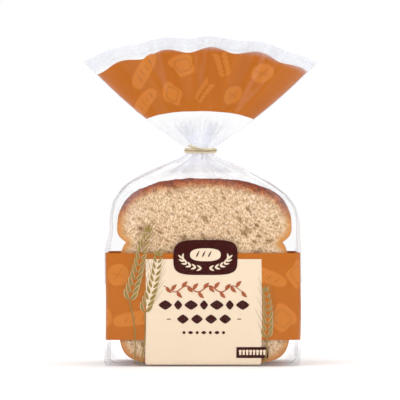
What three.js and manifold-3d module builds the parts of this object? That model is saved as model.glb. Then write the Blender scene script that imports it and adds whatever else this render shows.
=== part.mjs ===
// A sliced loaf in a clear film bag. The neck is gathered by a twist tie, and the mouth of the bag
// fans out above it. Millimetres, +Z up, the front faces -Y, and the origin is on
// the surface that the bag stands on, below the middle of the neck.
import * as THREE from "three";
import { mergeVertices } from "three/addons/utils/BufferGeometryUtils.js";
import Module from "manifold-3d";

// The bag's body, a soft box round the loaf. Above the printed band it is a little narrower, its
// front and back bulge, and the low ridge along the middle of each side wavers.
const body = {
  halfWidth: 65.8,
  upperHalfWidth: 64,
  halfDepth: 55.3,
  baseEdgeRadius: 3,
  bandTop: 75,
  shoulderHeight: 80,
  loafTopHeight: 123,
  boxiness: 16,
  wallBulge: 0.9,
  bulgeTop: 118,
  ridge: 0.4,
  ridgeFadeFrom: 66,
  ridgeFadeTo: 112,
  ridgeWaver: 0.6,
  ridgeWaverLength: 13,
  ridgeWaverFadeFrom: 90,
};

// The body leans a little to one side of the neck: pairs of height and offset
const lean = [
  [0, 1.4], [34, 2], [74, 1.6], [92, 2.9], [102, 2.5], [112, 1.3], [122, -0.8], [132, -0.3],
  [143, -0.3],
];

// The gathered neck, an oval bundle of film
const neck = { halfWidth: 9.2, halfDepth: 6.6, bottom: 142.3, top: 146.3 };

// The shoulder's outline from the front, and from the side: (1 - q^bend)^pull, with q from 0 to 1
const frontOutline = { bend: 4, pull: 1.55 };
const sideOutline = { bend: 2.5, pull: 4.5 };

// The folds that run from the neck down over the shoulder and up into the fan
const folds = { count: 13, onShoulder: 1.3, atNeck: 0.45, inFan: 0.7, start: 108, crest: 133 };

// The fan: the flattened mouth of the bag above the tie
const fan = {
  middleLength: 75.4,
  extraSideLength: 15.6,
  lowSpread: THREE.MathUtils.degToRad(58),
  lean: THREE.MathUtils.degToRad(0.3),
  highSpread: THREE.MathUtils.degToRad(50.3),
  thickness: 5,
  edgeThickness: 1,
  waveDepth: 4.4,
  waveWidth: 0.45,
  waveMiddle: 0.11,
  waveUneven: 0.25,
  sway: 2,
  hemWave: 1,
};

// The twist tie: a flat ribbon with a wire along its middle
const tie = {
  clearance: 0.9,
  ribbonHeight: 3.4,
  ribbonThickness: 0.7,
  wireHeight: 1.1,
  wireRise: 0.3,
  steps: 56,
  free: { width: 1.7, thickness: 0.6, length: 8.4, rise: 3.1, startX: 3.2 },
  tail: { width: 3, thickness: 1.5, length: 15, turns: 1.5, droop: 5, steps: 26 },
};

const pointsRound = 84;
const bodyRings = 24;
const fanRings = 14;
const wallRingWeight = 0.4;
const waverHeight = 0.35;
const columnWaverTurn = 0.008;

const fullTurn = 2 * Math.PI;
const { lerp, smoothstep } = THREE.MathUtils;

// Boxiness falls from a crisp box at the shoulder to an oval, at exponent 2, at the neck.
function boxinessAt(height) {
  const q = THREE.MathUtils.clamp(
    (height - body.shoulderHeight) / (neck.bottom - body.shoulderHeight), 0, 1);
  return 2 + (body.boxiness - 2) * (1 - q) ** 0.7;
}

// One outline of the shoulder: 1 at the height where it leaves the box, and 0 at the neck.
function outline(height, from, { bend, pull }) {
  const q = THREE.MathUtils.clamp((height - from) / (neck.bottom - from), 0, 1);
  return (1 - q ** bend) ** pull;
}

// How far the rounded base edge pulls the wall in at a height.
function baseInset(height) {
  const left = Math.max(0, 1 - height / body.baseEdgeRadius);
  return body.baseEdgeRadius * (1 - Math.sqrt(1 - left ** 2));
}

// The body's middle at a height, eased from one pair of the lean to the next.
function middleAt(height) {
  const next = lean.findIndex(([at]) => at >= height);
  if (next <= 0) return lean[0][1];
  const [[low, from], [high, to]] = [lean[next - 1], lean[next]];
  return lerp(from, to, smoothstep(height, low, high));
}

// A point of the body: a superellipse at its height, whose corners lie at odd multiples of 45
// degrees of turn.
function bodyPoint(turn, height) {
  const boxWidth = lerp(body.halfWidth, body.upperHalfWidth,
    smoothstep(height, body.bandTop, body.bandTop + 16));
  const halfWidth = lerp(neck.halfWidth, boxWidth,
    outline(height, body.shoulderHeight, frontOutline)) - baseInset(height);
  const halfDepth = lerp(neck.halfDepth, body.halfDepth,
    outline(height, body.loafTopHeight, sideOutline)) - baseInset(height);
  const boxiness = boxinessAt(height);
  const radius = (Math.abs(Math.cos(turn)) ** boxiness
    + Math.abs(Math.sin(turn)) ** boxiness) ** (-1 / boxiness);
  const bulge = body.wallBulge * Math.sin(turn) ** 3
    * Math.sin(Math.PI * Math.min(1, height / body.bulgeTop));
  const shift = body.ridgeWaver * Math.sin(height / body.ridgeWaverLength + 0.8)
    * Math.cos(turn) ** 6 * (1 - smoothstep(height, body.ridgeWaverFadeFrom, neck.bottom));
  const depth = halfDepth * radius * Math.sin(turn) + bulge + shift;
  const ridge = body.ridge * Math.sign(Math.cos(turn))
    * Math.max(0, 1 - Math.abs(depth) / body.halfDepth)
    * (1 - smoothstep(height, body.ridgeFadeFrom, body.ridgeFadeTo));
  const across = halfWidth * radius * Math.cos(turn) + ridge;
  return new THREE.Vector3(across + middleAt(height), depth, height);
}

// Where a turn round the ring lies across the fan: 1 at the right edge, -1 at the left edge.
function acrossFan(turn) {
  const halfTurns = turn / Math.PI;
  return halfTurns <= 1 ? 1 - 2 * halfTurns : 2 * halfTurns - 3;
}

// The wave that runs across the fan, with slightly uneven crests.
function fanWave(across) {
  return Math.cos((fullTurn * (across - fan.waveMiddle)) / fan.waveWidth
    + fan.waveUneven * Math.sin(3 * across));
}

// A point of the fan. Reach is 0 at the neck and 1 at the hem. Each line of the fan leaves the neck
// under its own angle, and the sides are longer than the middle, as in a flat bag that is gathered.
function fanPoint(turn, reach) {
  const across = acrossFan(turn);
  const start = bodyPoint(turn, neck.bottom);
  const angle = across * lerp(fan.lowSpread, fan.highSpread, reach) + fan.lean;
  const length = reach * (fan.middleLength + fan.extraSideLength * across ** 2)
    + reach ** 3 * fan.hemWave * fanWave(across) * (1 - across ** 6);
  const opened = smoothstep(reach, 0, 0.45);
  const side = turn > Math.PI ? -1 : 1;
  const gap = lerp(fan.edgeThickness, fan.thickness, (1 - across ** 6));
  const wave = fan.waveDepth * smoothstep(reach, 0.1, 1.1) * fanWave(across)
    + fan.sway * reach * Math.sin(2.1 * across + 0.7);
  const sheet = Math.abs(across) === 1 ? 0 : (side * gap) / 2;
  return new THREE.Vector3(
    start.x + length * Math.sin(angle),
    lerp(start.y, sheet, opened) + wave,
    neck.top + length * Math.cos(angle));
}

// The whole film. Up runs from 0 at the base, through the neck, to the hem of the fan.
const hem = neck.top + fan.middleLength;
function filmPoint(turn, up) {
  if (up <= neck.bottom) return bodyPoint(turn, up);
  if (up < neck.top) return bodyPoint(turn, neck.bottom).setZ(up);
  return fanPoint(turn, (up - neck.top) / fan.middleLength);
}

// The depth of the folds, in millimetres along the film's normal.
function foldDepth(turn, up) {
  const uneven = turn + 0.13 * Math.sin(3 * turn + 1) + 0.08 * Math.sin(5 * turn + 2.3);
  const ridge = 1 - 2 * Math.abs(Math.sin((folds.count * uneven) / 2));
  const rising = folds.onShoulder * smoothstep(up, folds.start, folds.crest);
  const belowNeck = lerp(rising, folds.atNeck, smoothstep(up, folds.crest, neck.bottom));
  const reach = (up - neck.top) / fan.middleLength;
  const inFan = lerp(folds.atNeck, folds.inFan, smoothstep(reach, 0, 0.2))
    * (1 - smoothstep(reach, 0.25, 0.8));
  return ridge * (up <= neck.top ? belowNeck : inFan);
}

// The film's outward normal, from two small steps along the surface.
function filmNormal(turn, up) {
  const step = 1e-3;
  const round = filmPoint(turn + step, up).sub(filmPoint(turn - step, up));
  const rise = filmPoint(turn, up + step * 10).sub(filmPoint(turn, up - step * 10));
  return round.cross(rise).normalize();
}

function foldedFilmPoint(turn, up) {
  const depth = foldDepth(turn, up);
  const onEdge = up > neck.top && Math.abs(acrossFan(turn)) > 0.999;
  if (depth === 0 || onEdge) return filmPoint(turn, up);
  return filmPoint(turn, up).addScaledVector(filmNormal(turn, up), depth);
}

// Levels of the rings between two levels, evenly spaced along the film's path. The body's plain
// walls count for less, because they need fewer rings than the shoulder and the fan.
function ringLevels(from, to, count) {
  const fineSteps = 600;
  const levels = [from];
  const lengths = [0];
  for (let i = 1; i <= fineSteps; i++) {
    const before = levels[i - 1];
    const up = lerp(from, to, i / fineSteps);
    const front = filmPoint(1.5 * Math.PI, up).distanceTo(filmPoint(1.5 * Math.PI, before));
    const side = filmPoint(0, up).distanceTo(filmPoint(0, before));
    const weight = up > body.shoulderHeight ? 1 : wallRingWeight;
    levels.push(up);
    lengths.push(lengths[i - 1] + weight * Math.max(front, side));
  }
  return Array.from({ length: count }, (_, ring) => {
    const wanted = (lengths[fineSteps] * ring) / (count - 1);
    const at = Math.max(1, lengths.findIndex((length) => length >= wanted - 1e-9));
    const share = (wanted - lengths[at - 1]) / (lengths[at] - lengths[at - 1]);
    return lerp(levels[at - 1], levels[at], share);
  });
}

// A closed surface from rings of points, each ring one closed loop with the same number of points.
// With caps, the first and last ring are closed by pairing points i and count - i.
function loftedGeometry(rings, capped) {
  const count = rings[0].length;
  const positions = rings.flat().flatMap((p) => [p.x, p.y, p.z]);
  const faces = [];
  const addQuad = (a, b, c, d) => faces.push(a, b, c, a, c, d);
  const rows = capped ? rings.length - 1 : rings.length;
  for (let row = 0; row < rows; row++) {
    const low = row * count;
    const high = ((row + 1) % rings.length) * count;
    for (let i = 0; i < count; i++) {
      const next = (i + 1) % count;
      addQuad(low + i, low + next, high + next, high + i);
    }
  }
  if (capped) {
    const top = (rings.length - 1) * count;
    for (let i = 0; i < count / 2; i++) {
      const far = (count - i) % count;
      const nextFar = count - i - 1;
      if (i > 0) {
        faces.push(far, i + 1, i);
        faces.push(top + far, top + i, top + i + 1);
      }
      if (nextFar !== i + 1) {
        faces.push(far, nextFar, i + 1);
        faces.push(top + far, top + i + 1, top + nextFar);
      }
    }
  }
  const geometry = new THREE.BufferGeometry();
  geometry.setAttribute("position", new THREE.Float32BufferAttribute(positions, 3));
  geometry.setIndex(faces);
  return geometry;
}

// The rings of the walls and of the fan waver a little in height, as film does, so that no ring of
// corners lies in one plane. The base, the neck and the hem keep their levels.
function ringWaver(turn, up, ring) {
  const onBody = smoothstep(up, 0, 8) * (1 - smoothstep(up, 132, neck.bottom));
  const onFan = smoothstep(up, neck.top, neck.top + 10) * (1 - smoothstep(up, hem - 8, hem));
  return (onBody + onFan) * waverHeight * Math.sin(3 * turn + 2.4 * ring + 0.7);
}

// The columns of corners waver a little round the bag, for the same reason. The two creases at its
// sides stay where they are.
function columnWaver(turn, ring) {
  return columnWaverTurn * Math.sin(turn) * Math.sin(1.9 * ring + 2 * turn + 0.3);
}

function bagGeometry() {
  const levels = [
    0,
    body.baseEdgeRadius * 0.12,
    body.baseEdgeRadius * 0.45,
    ...ringLevels(body.baseEdgeRadius, neck.bottom, bodyRings),
    ...ringLevels(neck.top, hem, fanRings),
  ];
  const rings = levels.map((up, ring) =>
    Array.from({ length: pointsRound }, (_, i) => {
      const evenTurn = (fullTurn * i) / pointsRound;
      const turn = evenTurn + columnWaver(evenTurn, ring);
      return foldedFilmPoint(turn, up + ringWaver(turn, up, ring));
    }));
  return loftedGeometry(rings, true);
}

// The ribbon round the neck: a flat band whose outer face swells over the wire.
function ribbonGeometry() {
  const inner = tie.clearance;
  const outer = inner + tie.ribbonThickness;
  const half = tie.ribbonHeight / 2;
  const wire = tie.wireHeight / 2;
  const section = [
    [inner, -half], [outer, -half], [outer, -wire], [outer + tie.wireRise, 0],
    [outer, wire], [outer, half], [inner, half],
  ];
  const middle = (neck.bottom + neck.top) / 2;
  const rings = Array.from({ length: tie.steps }, (_, i) => {
    const turn = (fullTurn * i) / tie.steps;
    return section.map(([out, rise]) => new THREE.Vector3(
      (neck.halfWidth + out) * Math.cos(turn), (neck.halfDepth + out) * Math.sin(turn),
      middle + rise));
  });
  return loftedGeometry(rings, false);
}

// A strip with a rectangular section, carried along a path. The section turns by twist in all.
function stripGeometry(path, width, thickness, twist, steps) {
  const rings = Array.from({ length: steps + 1 }, (_, i) => {
    const share = i / steps;
    const at = path.getPoint(share);
    const ahead = path.getTangent(share);
    const level = new THREE.Vector3().crossVectors(ahead, new THREE.Vector3(0, 0, 1)).normalize();
    const rise = new THREE.Vector3().crossVectors(level, ahead).normalize();
    const angle = twist * share;
    const wide = rise.clone().applyAxisAngle(ahead, angle).multiplyScalar(width / 2);
    const thick = level.clone().applyAxisAngle(ahead, angle).multiplyScalar(thickness / 2);
    return [[1, 0], [1, 1], [0, 1], [-1, 1], [-1, 0], [-1, -1], [0, -1], [1, -1]].map(
      ([a, b]) => at.clone().addScaledVector(wide, a).addScaledVector(thick, b));
  });
  return loftedGeometry(rings, true);
}

// The ribbon's free end, which crosses the front of the neck and lies up to the left.
function freeEndGeometry() {
  const front = -(neck.halfDepth + tie.clearance + tie.ribbonThickness);
  const middle = (neck.bottom + neck.top) / 2;
  const path = new THREE.CatmullRomCurve3([
    new THREE.Vector3(tie.free.startX, front + 0.1, middle),
    new THREE.Vector3(0, front - 0.3, middle + tie.free.rise * 0.35),
    new THREE.Vector3(tie.free.startX - tie.free.length, front + 0.1, middle + tie.free.rise),
  ]);
  return stripGeometry(path, tie.free.width, tie.free.thickness, 0, 10);
}

// The two ends twisted together behind the neck, which droop towards the back.
function tailGeometry() {
  const back = neck.halfDepth + tie.clearance + 0.4;
  const middle = (neck.bottom + neck.top) / 2;
  const path = new THREE.QuadraticBezierCurve3(
    new THREE.Vector3(0, back, middle),
    new THREE.Vector3(0.6, back + tie.tail.length * 0.55, middle + 0.8),
    new THREE.Vector3(2.2, back + tie.tail.length, middle - tie.tail.droop));
  return stripGeometry(path, tie.tail.width, tie.tail.thickness,
    tie.tail.turns * fullTurn, tie.tail.steps);
}

const wasm = await Module();
wasm.setup();

function solidOf(geometry) {
  const bare = geometry.clone();
  bare.deleteAttribute("normal");
  bare.deleteAttribute("uv");
  const merged = mergeVertices(bare, 1e-4);
  const solid = new wasm.Manifold(new wasm.Mesh({
    numProp: 3,
    vertProperties: merged.attributes.position.array,
    triVerts: new Uint32Array(merged.index.array),
  }));
  if (solid.volume() > 0) return solid;
  const flipped = new Uint32Array(merged.index.array).reverse();
  return new wasm.Manifold(new wasm.Mesh({
    numProp: 3,
    vertProperties: merged.attributes.position.array,
    triVerts: flipped,
  }));
}

function geometryOf(solid) {
  const mesh = solid.getMesh();
  const geometry = new THREE.BufferGeometry();
  geometry.setAttribute("position", new THREE.BufferAttribute(mesh.vertProperties, 3));
  geometry.setIndex(new THREE.BufferAttribute(mesh.triVerts, 1));
  geometry.computeVertexNormals();
  return geometry;
}

function namedMesh(name, geometry, material) {
  const mesh = new THREE.Mesh(geometry, material);
  mesh.name = name;
  return mesh;
}

const film = new THREE.MeshStandardMaterial({
  color: 0xd9a26a, roughness: 0.25, metalness: 0, transparent: true, opacity: 0.6,
});
const goldRibbon = new THREE.MeshStandardMaterial({ color: 0xcec1a0, roughness: 0.4, metalness: 0.3 });

const tieSolid = [ribbonGeometry(), freeEndGeometry(), tailGeometry()]
  .map(solidOf)
  .reduce((all, piece) => all.add(piece));

const loafInBag = new THREE.Group();
loafInBag.name = "loaf_in_bread_bag";
loafInBag.add(
  namedMesh("bread_bag", geometryOf(solidOf(bagGeometry())), film),
  namedMesh("twist_tie", geometryOf(tieSolid), goldRibbon),
);

export default loafInBag;
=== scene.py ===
"""A sliced loaf in a clear printed bread bag, closed at the neck by a twist tie.

Every surface is worked out in millimetres and goes into its mesh in metres. The film is one surface
with two parameters. Turn runs round the bag in radians: the right side is at 0, the back at a
quarter turn, the left side at half a turn and the front at three quarters. Up is the height in
millimetres from the base to the neck, and above the neck it goes on as the length along the middle
of the fan. The print lies just inside the film and is worked out from the same surface.
"""
from itertools import chain

import bpy
import numpy as np
from bpy.props import FloatProperty, FloatVectorProperty, IntProperty, PointerProperty
from bpy.types import Operator, Panel, PropertyGroup
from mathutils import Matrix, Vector


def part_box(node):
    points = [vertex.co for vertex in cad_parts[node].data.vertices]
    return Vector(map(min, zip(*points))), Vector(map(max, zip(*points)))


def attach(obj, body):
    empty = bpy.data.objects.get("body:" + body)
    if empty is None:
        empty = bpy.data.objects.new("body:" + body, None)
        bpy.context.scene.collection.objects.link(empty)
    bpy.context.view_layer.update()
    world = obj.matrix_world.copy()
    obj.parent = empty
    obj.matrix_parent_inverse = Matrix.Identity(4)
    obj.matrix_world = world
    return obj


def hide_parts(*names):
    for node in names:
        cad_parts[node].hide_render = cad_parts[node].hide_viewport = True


bl_info = {
    "name": "Loaf in Bread Bag",
    "version": (1, 0, 0),
    "blender": (4, 5, 0),
    "location": "3D View > Sidebar > Bread Bag",
    "description": "Dresses a loaf in a bag with film, print, slices of bread and a twist tie",
    "category": "Object",
}

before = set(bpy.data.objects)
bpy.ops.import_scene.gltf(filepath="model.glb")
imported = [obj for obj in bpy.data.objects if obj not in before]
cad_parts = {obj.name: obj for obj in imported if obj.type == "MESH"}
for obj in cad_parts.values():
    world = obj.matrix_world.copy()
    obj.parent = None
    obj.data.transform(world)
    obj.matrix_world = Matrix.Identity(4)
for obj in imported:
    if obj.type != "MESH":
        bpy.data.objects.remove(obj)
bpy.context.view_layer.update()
bag_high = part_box("bread_bag")[1]

MM = 0.001
FULL_TURN = 2 * np.pi

# The body of the bag and the neck, as in the solid, in millimetres
BODY_BOXINESS = 16.0
WALL_BULGE, BULGE_TOP = 0.9, 118.0
BASE_EDGE_RADIUS = 3.0
BAND_TOP = 75.0
SHOULDER_HEIGHT = 80.0
LOAF_TOP_HEIGHT = 123.0
NECK_HALF_WIDTH, NECK_HALF_DEPTH = 9.2, 6.6
NECK_BOTTOM, NECK_TOP = 142.3, 146.3
LEAN = [
    (0, 1.4), (34, 2.0), (74, 1.6), (92, 2.9), (102, 2.5), (112, 1.3), (122, -0.8), (132, -0.3),
    (143, -0.3)]
CREASE_WAVER, CREASE_WAVER_LENGTH, CREASE_WAVER_FROM = 0.6, 13.0, 90.0
GUSSET_DEPTH, GUSSET_HALF_SPREAD, GUSSET_FADE = 3.5, 42.0, (66.0, 112.0)
FRONT_BEND, FRONT_PULL = 4.0, 1.55
SIDE_BEND, SIDE_PULL = 2.5, 4.5

# The fan above the neck, as in the solid
FAN_SIDE_EXTRA = 15.6
FAN_SPREAD_LOW, FAN_SPREAD_HIGH = np.radians(58), np.radians(50.3)
FAN_THICKNESS, FAN_EDGE_THICKNESS = 5.0, 1.0
FAN_WAVE_DEPTH, FAN_WAVE_WIDTH, FAN_WAVE_MIDDLE, FAN_WAVE_UNEVEN = 4.4, 0.45, 0.11, 0.25
FAN_SWAY, HEM_WAVE = 2.0, 1.0
FAN_LEAN = np.radians(0.3)
FAN_LENGTH = bag_high.z / MM - NECK_TOP - HEM_WAVE
FOLD_COUNT = 13
FOLD_START, FOLD_CREST = 108.0, 133.0

# Places of the print on the front, in millimetres from the neck's line and from the base
BAND_BOTTOM, BAND_MIDDLE = 17.3, 46.0
PANEL_LEFT, PANEL_RIGHT, PANEL_TOP, PANEL_BOTTOM = -36.3, 41.0, 71.3, 0.6
BADGE_CENTRE, BADGE_HALF_SIZE, BADGE_BOXINESS = (3.6, 72.4), (21.4, 11.7), 4.2
TITLE_MIDDLE = 2.3
PLATE_CENTRE, PLATE_SIZE = (35.0, 9.0), (21.3, 7.3)
FLAT_HALF_GIRTH = 121.5
FAN_HALF_ARC = 60.0
GARLAND_HEIGHT, GARLAND_SWING = 51.4, 2.0
UPPER_ROW, LOWER_ROW, SMALL_ROW = 40.7, 31.3, 22.3

# The fan's field: its lower and upper edge in shares of the fan's length, and how they bow and wave
FIELD_LOW, FIELD_LOW_BOW = 0.332, 0.038
FIELD_HIGH, FIELD_HIGH_RISE, FIELD_HIGH_WAVE = 0.887, 0.022, 0.017

# Each ear of wheat: its foot, its tip, its pairs of grains, a grain's length and the stem's foot
EARS = [
    ((-47.5, 44), (-37.6, 89), 11, 7.6, (-43.5, 1.2)),
    ((-37.2, 36), (-28.2, 73), 10, 6.8, (-39.6, 1.2)),
    ((44.4, 19), (43.4, 49), 8, 6.4, (42.6, 1.2)),
]

# Depth of each printed layer inside the film, and how far apart neighbouring patches of it lie
FIELD_LAYER, MOTIF_LAYER, PANEL_LAYER, SIGN_LAYER, TOP_LAYER = 0.60, 0.48, 0.36, 0.22, 0.11
CUT_LAYER = 0.05
PATCH_STEP = 0.012

# Points round the film and its print, creases round it, and the height of its folded base
FILM_COLUMNS = 400
CREASE_COUNT = 34
BASE_FILM_HEIGHT = 0.35

# The outline of a slice: a rounded block below, and a dome that overhangs it
SLICE_MIDDLE = (2.5, 62.0)
SLICE_FLOOR, SLICE_TOP = 1.0, 125.3
DOME_LEVEL, DOME_FALL, DOME_BOXINESS = 92.0, 16.0, 2.55
BLOCK_LEVEL, BLOCK_BOXINESS_LOW, BLOCK_BOXINESS_HIGH = 46.0, 6.0, 5.0

# The rounded edge of a slice, and how deep the crust's colour reaches into its cut faces
SLICE_EDGE = 0.55
DOME_CRUST_DEPTH, SIDE_CRUST_DEPTH = 8.4, 6.2

# The middle of the camera's view, and how far the floor lies below the bag's base
VIEW_MIDDLE_X, VIEW_MIDDLE_Z = -0.3, 110.7
FLOOR_GAP = 0.4

# Each lamp: its name, its place and its two sides in metres, and how many times the lamp power it
# has. All of them point at one place, given in metres too.
LAMP_AIM = (0, 0, 0.09)
LAMPS = [
    ("Main lamp", (-0.9, -1.5, 1.5), (1.3, 1.3), 2.2),
    ("Side lamp", (1.6, -0.8, 0.7), (0.5, 1.5), 0.7),
    ("Back lamp", (0.5, 1.5, 1.3), (1.0, 1.0), 1.0),
]


def srgb(red, green, blue):
    """A colour in Blender's linear values from the 0 to 255 values of a colour chart."""
    parts = np.array([red, green, blue]) / 255
    linear = np.where(parts <= 0.04045, parts / 12.92, ((parts + 0.055) / 1.055) ** 2.4)
    return tuple(float(part) for part in linear)


def colour_setting(label, description, chart_colour):
    """A colour property with the given default, in 0 to 255 values."""
    return FloatVectorProperty(
        name=label, description=description, subtype="COLOR", size=3, min=0, max=1,
        default=srgb(*chart_colour))


def length_setting(label, description, millimetres):
    """A length property with the given default in millimetres."""
    return FloatProperty(
        name=label, description=description, unit="LENGTH", precision=4, min=0,
        default=millimetres * MM)


class BagSettings(PropertyGroup):
    """Sizes and looks of the film."""

    width: length_setting("Width", "Width of the bag round the printed band", 132)
    upper_width: length_setting("Upper width", "Width of the bag above the printed band", 128)
    depth: length_setting("Depth", "Depth of the bag from front to back", 110.6)
    shoulder_fold: length_setting("Shoulder folds", "Depth of the folds below the neck", 1.3)
    fan_fold: length_setting("Fan folds", "Depth of the narrow folds in the fan", 0.7)
    crumple: length_setting("Crumple", "Depth of the fine creases all over the film", 0.5)
    haze: FloatProperty(
        name="Haze", description="How white the film is where it lies smooth", subtype="FACTOR",
        min=0, max=1, default=0.001)
    shine: FloatProperty(
        name="Shine", description="Most that the film mirrors at grazing angles",
        subtype="FACTOR", min=0, max=1, default=0.08)
    film_colour: colour_setting("Film", "Colour of creased film", (226, 228, 235))


class PrintSettings(PropertyGroup):
    """Colours of the print."""

    field_colour: colour_setting("Field", "Colour of the band and the fan", (190, 106, 30))
    motif_colour: colour_setting("Motifs", "Colour of the tone-on-tone motifs", (207, 124, 48))
    panel_colour: colour_setting("Panel", "Colour of the cream panel", (241, 220, 193))
    badge_colour: colour_setting("Badge", "Colour of the badge and the plate", (60, 8, 3))
    script_colour: colour_setting("Ornament", "Colour of the garland", (170, 92, 56))
    leaf_colour: colour_setting("Wheat", "Colour of the ears of wheat", (152, 128, 70))
    pale_leaf_colour: colour_setting("Pale wheat", "Colour of the grains' edges", (222, 198, 152))


class LoafSettings(PropertyGroup):
    """Sizes and colours of the bread."""

    slices: IntProperty(
        name="Slices", description="How many slices the bag holds", default=8, min=2, max=12)
    thickness: length_setting("Thickness", "Thickness of one slice", 12.4)
    gap: length_setting("Gap", "Gap between two slices", 1.0)
    dome_width: length_setting("Dome width", "Width across the overhanging top", 117.4)
    block_width: length_setting("Block width", "Width below the overhang", 115.4)
    crumb_colour: colour_setting("Crumb", "Colour of the crumb", (220, 193, 163))
    # The pores' colour is painted shade, as if their holes lay in shadow.
    pore_shade_colour: colour_setting("Pores", "Colour inside the pores", (150, 112, 66))
    crust_colour: colour_setting("Crust", "Colour of the baked top", (130, 48, 10))
    side_colour: colour_setting("Side crust", "Colour of the paler sides", (200, 128, 56))


class TieSettings(PropertyGroup):
    """Sizes and colour of the twist tie."""

    ribbon_height: length_setting("Ribbon", "Width of the ribbon", 3.4)
    ribbon_thickness: length_setting("Thickness", "Thickness of the ribbon", 0.6)
    wire: length_setting("Wire", "Diameter of the wire in the ribbon", 1.1)
    clearance: length_setting("Clearance", "Gap between the neck and the ribbon", 0.9)
    colour: colour_setting("Ribbon colour", "Colour of the ribbon", (238, 224, 192))
    wire_colour: colour_setting("Wire line", "Colour of the line over the wire", (180, 164, 128))


class StageSettings(PropertyGroup):
    """The floor, the lamps and the camera."""

    floor_radius: length_setting("Floor", "Radius of the floor", 2500)
    frame_width: length_setting("View", "Width that the camera shows at the bag's front", 266.7)
    distance: length_setting("Distance", "Distance from the camera to the bag's front", 2600)
    lamp_power: FloatProperty(
        name="Lamp", description="Power of the back lamp, which the others are multiples of",
        default=6.0, min=0, unit="POWER")
    sky: FloatProperty(name="Sky", description="Strength of the even light", default=0.8, min=0)


GROUPS = {
    "bread_bag_film": BagSettings,
    "bread_bag_print": PrintSettings,
    "bread_bag_loaf": LoafSettings,
    "bread_bag_tie": TieSettings,
    "bread_bag_stage": StageSettings,
}


def mix(low, high, share):
    """The value at a share of the way from low to high."""
    return low + (high - low) * share


def smooth(value, low, high):
    """0 up to low and 1 from high on, eased in between by 3 t^2 - 2 t^3."""
    share = np.clip((value - low) / (high - low), 0, 1)
    return share * share * (3 - 2 * share)


def lattice_noise(x, y, seed, period=None):
    """Smooth noise from -1 to 1: random numbers at whole x and y, blended by eased shares between
    them. With a period, the noise repeats after that many steps of x."""
    size = 257
    table = np.random.default_rng(seed).uniform(-1, 1, (size, size))
    left, low = np.floor(x).astype(int), np.floor(y).astype(int)
    across, rise = x - left, y - low
    across, rise = across * across * (3 - 2 * across), rise * rise * (3 - 2 * rise)

    def corner(i, j):
        column = (i % period) if period else i
        return table[column % size, j % size]

    below = mix(corner(left, low), corner(left + 1, low), across)
    above = mix(corner(left, low + 1), corner(left + 1, low + 1), across)
    return mix(below, above, rise)


def superellipse(angle, boxiness):
    """The polar radius (|cos t|^n + |sin t|^n)^(-1/n) of a superellipse in a square of side 2."""
    powers = np.abs(np.cos(angle)) ** boxiness + np.abs(np.sin(angle)) ** boxiness
    return powers ** (-1 / boxiness)


def square_grid(count):
    """The coordinates u and v of a square grid from -1 to 1, with count points along each side."""
    return np.meshgrid(np.linspace(-1, 1, count), np.linspace(-1, 1, count))


def border(grid):
    """The values of a square grid along its border, in order round it from the first corner."""
    return np.concatenate([grid[0, :-1], grid[:-1, -1], grid[-1, :0:-1], grid[:0:-1, 0]])


def turns_round(columns):
    """Even turns round the bag, as one row."""
    return (np.arange(columns) / columns * FULL_TURN)[None, :]


def body_middle(height):
    """The body's middle at a height, eased from one pair of LEAN to the next."""
    middle = np.full(np.shape(height), float(LEAN[0][1]))
    for (low, start), (high, end) in zip(LEAN, LEAN[1:]):
        middle = middle + (end - start) * smooth(height, low, high)
    return middle


def shoulder_share(height, start, bend, pull):
    """(1 - q^bend)^pull, where q runs from 0 at the start to 1 at the neck."""
    q = np.clip((height - start) / (NECK_BOTTOM - start), 0, 1)
    return (1 - q**bend) ** pull


def body_section(height):
    """Half width, half depth, boxiness and middle of the bag's section at each height."""
    bag = bpy.context.scene.bread_bag_film
    edge = np.clip(1 - height / BASE_EDGE_RADIUS, 0, 1)
    inset = BASE_EDGE_RADIUS * (1 - np.sqrt(1 - edge**2))
    widest = mix(bag.width, bag.upper_width, smooth(height, BAND_TOP, BAND_TOP + 16)) / 2 / MM
    front = shoulder_share(height, SHOULDER_HEIGHT, FRONT_BEND, FRONT_PULL)
    side = shoulder_share(height, LOAF_TOP_HEIGHT, SIDE_BEND, SIDE_PULL)
    q = np.clip((height - SHOULDER_HEIGHT) / (NECK_BOTTOM - SHOULDER_HEIGHT), 0, 1)
    half_width = mix(NECK_HALF_WIDTH, widest, front) - inset
    half_depth = mix(NECK_HALF_DEPTH, bag.depth / 2 / MM, side) - inset
    boxiness = 2 + (BODY_BOXINESS - 2) * (1 - q) ** 0.7
    return half_width, half_depth, boxiness, body_middle(height)


def body_point(turn, height):
    """Points of the body. At each height the section is the superellipse's radius times
    (half width cos t, half depth sin t), moved to the body's middle. The front and the back bulge
    by a sine of the height, the creases at the sides waver by another, and the sides are tucked in
    as a gusset."""
    half_width, half_depth, boxiness, middle = body_section(height)
    cosine, sine = np.cos(turn), np.sin(turn)
    radius = superellipse(turn, boxiness)
    bulge = WALL_BULGE * sine**3 * np.sin(np.pi * np.minimum(1, height / BULGE_TOP))
    shift = CREASE_WAVER * np.sin(height / CREASE_WAVER_LENGTH + 0.8) * cosine**6
    shift = shift * (1 - smooth(height, CREASE_WAVER_FROM, NECK_BOTTOM))
    depth = half_depth * radius * sine + bulge + shift
    tuck = GUSSET_DEPTH * (1 - smooth(height, *GUSSET_FADE))
    tuck = tuck * np.maximum(0, 1 - np.abs(depth) / GUSSET_HALF_SPREAD)
    across = half_width * radius * cosine - np.sign(cosine) * tuck
    return np.stack([across + middle, depth, height + 0 * turn], axis=-1)


def across_fan(turn):
    """Where a turn lies across the fan: 1 at the right edge and -1 at the left edge."""
    half_turns = (turn % FULL_TURN) / np.pi
    return np.where(half_turns <= 1, 1 - 2 * half_turns, 2 * half_turns - 3)


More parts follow.
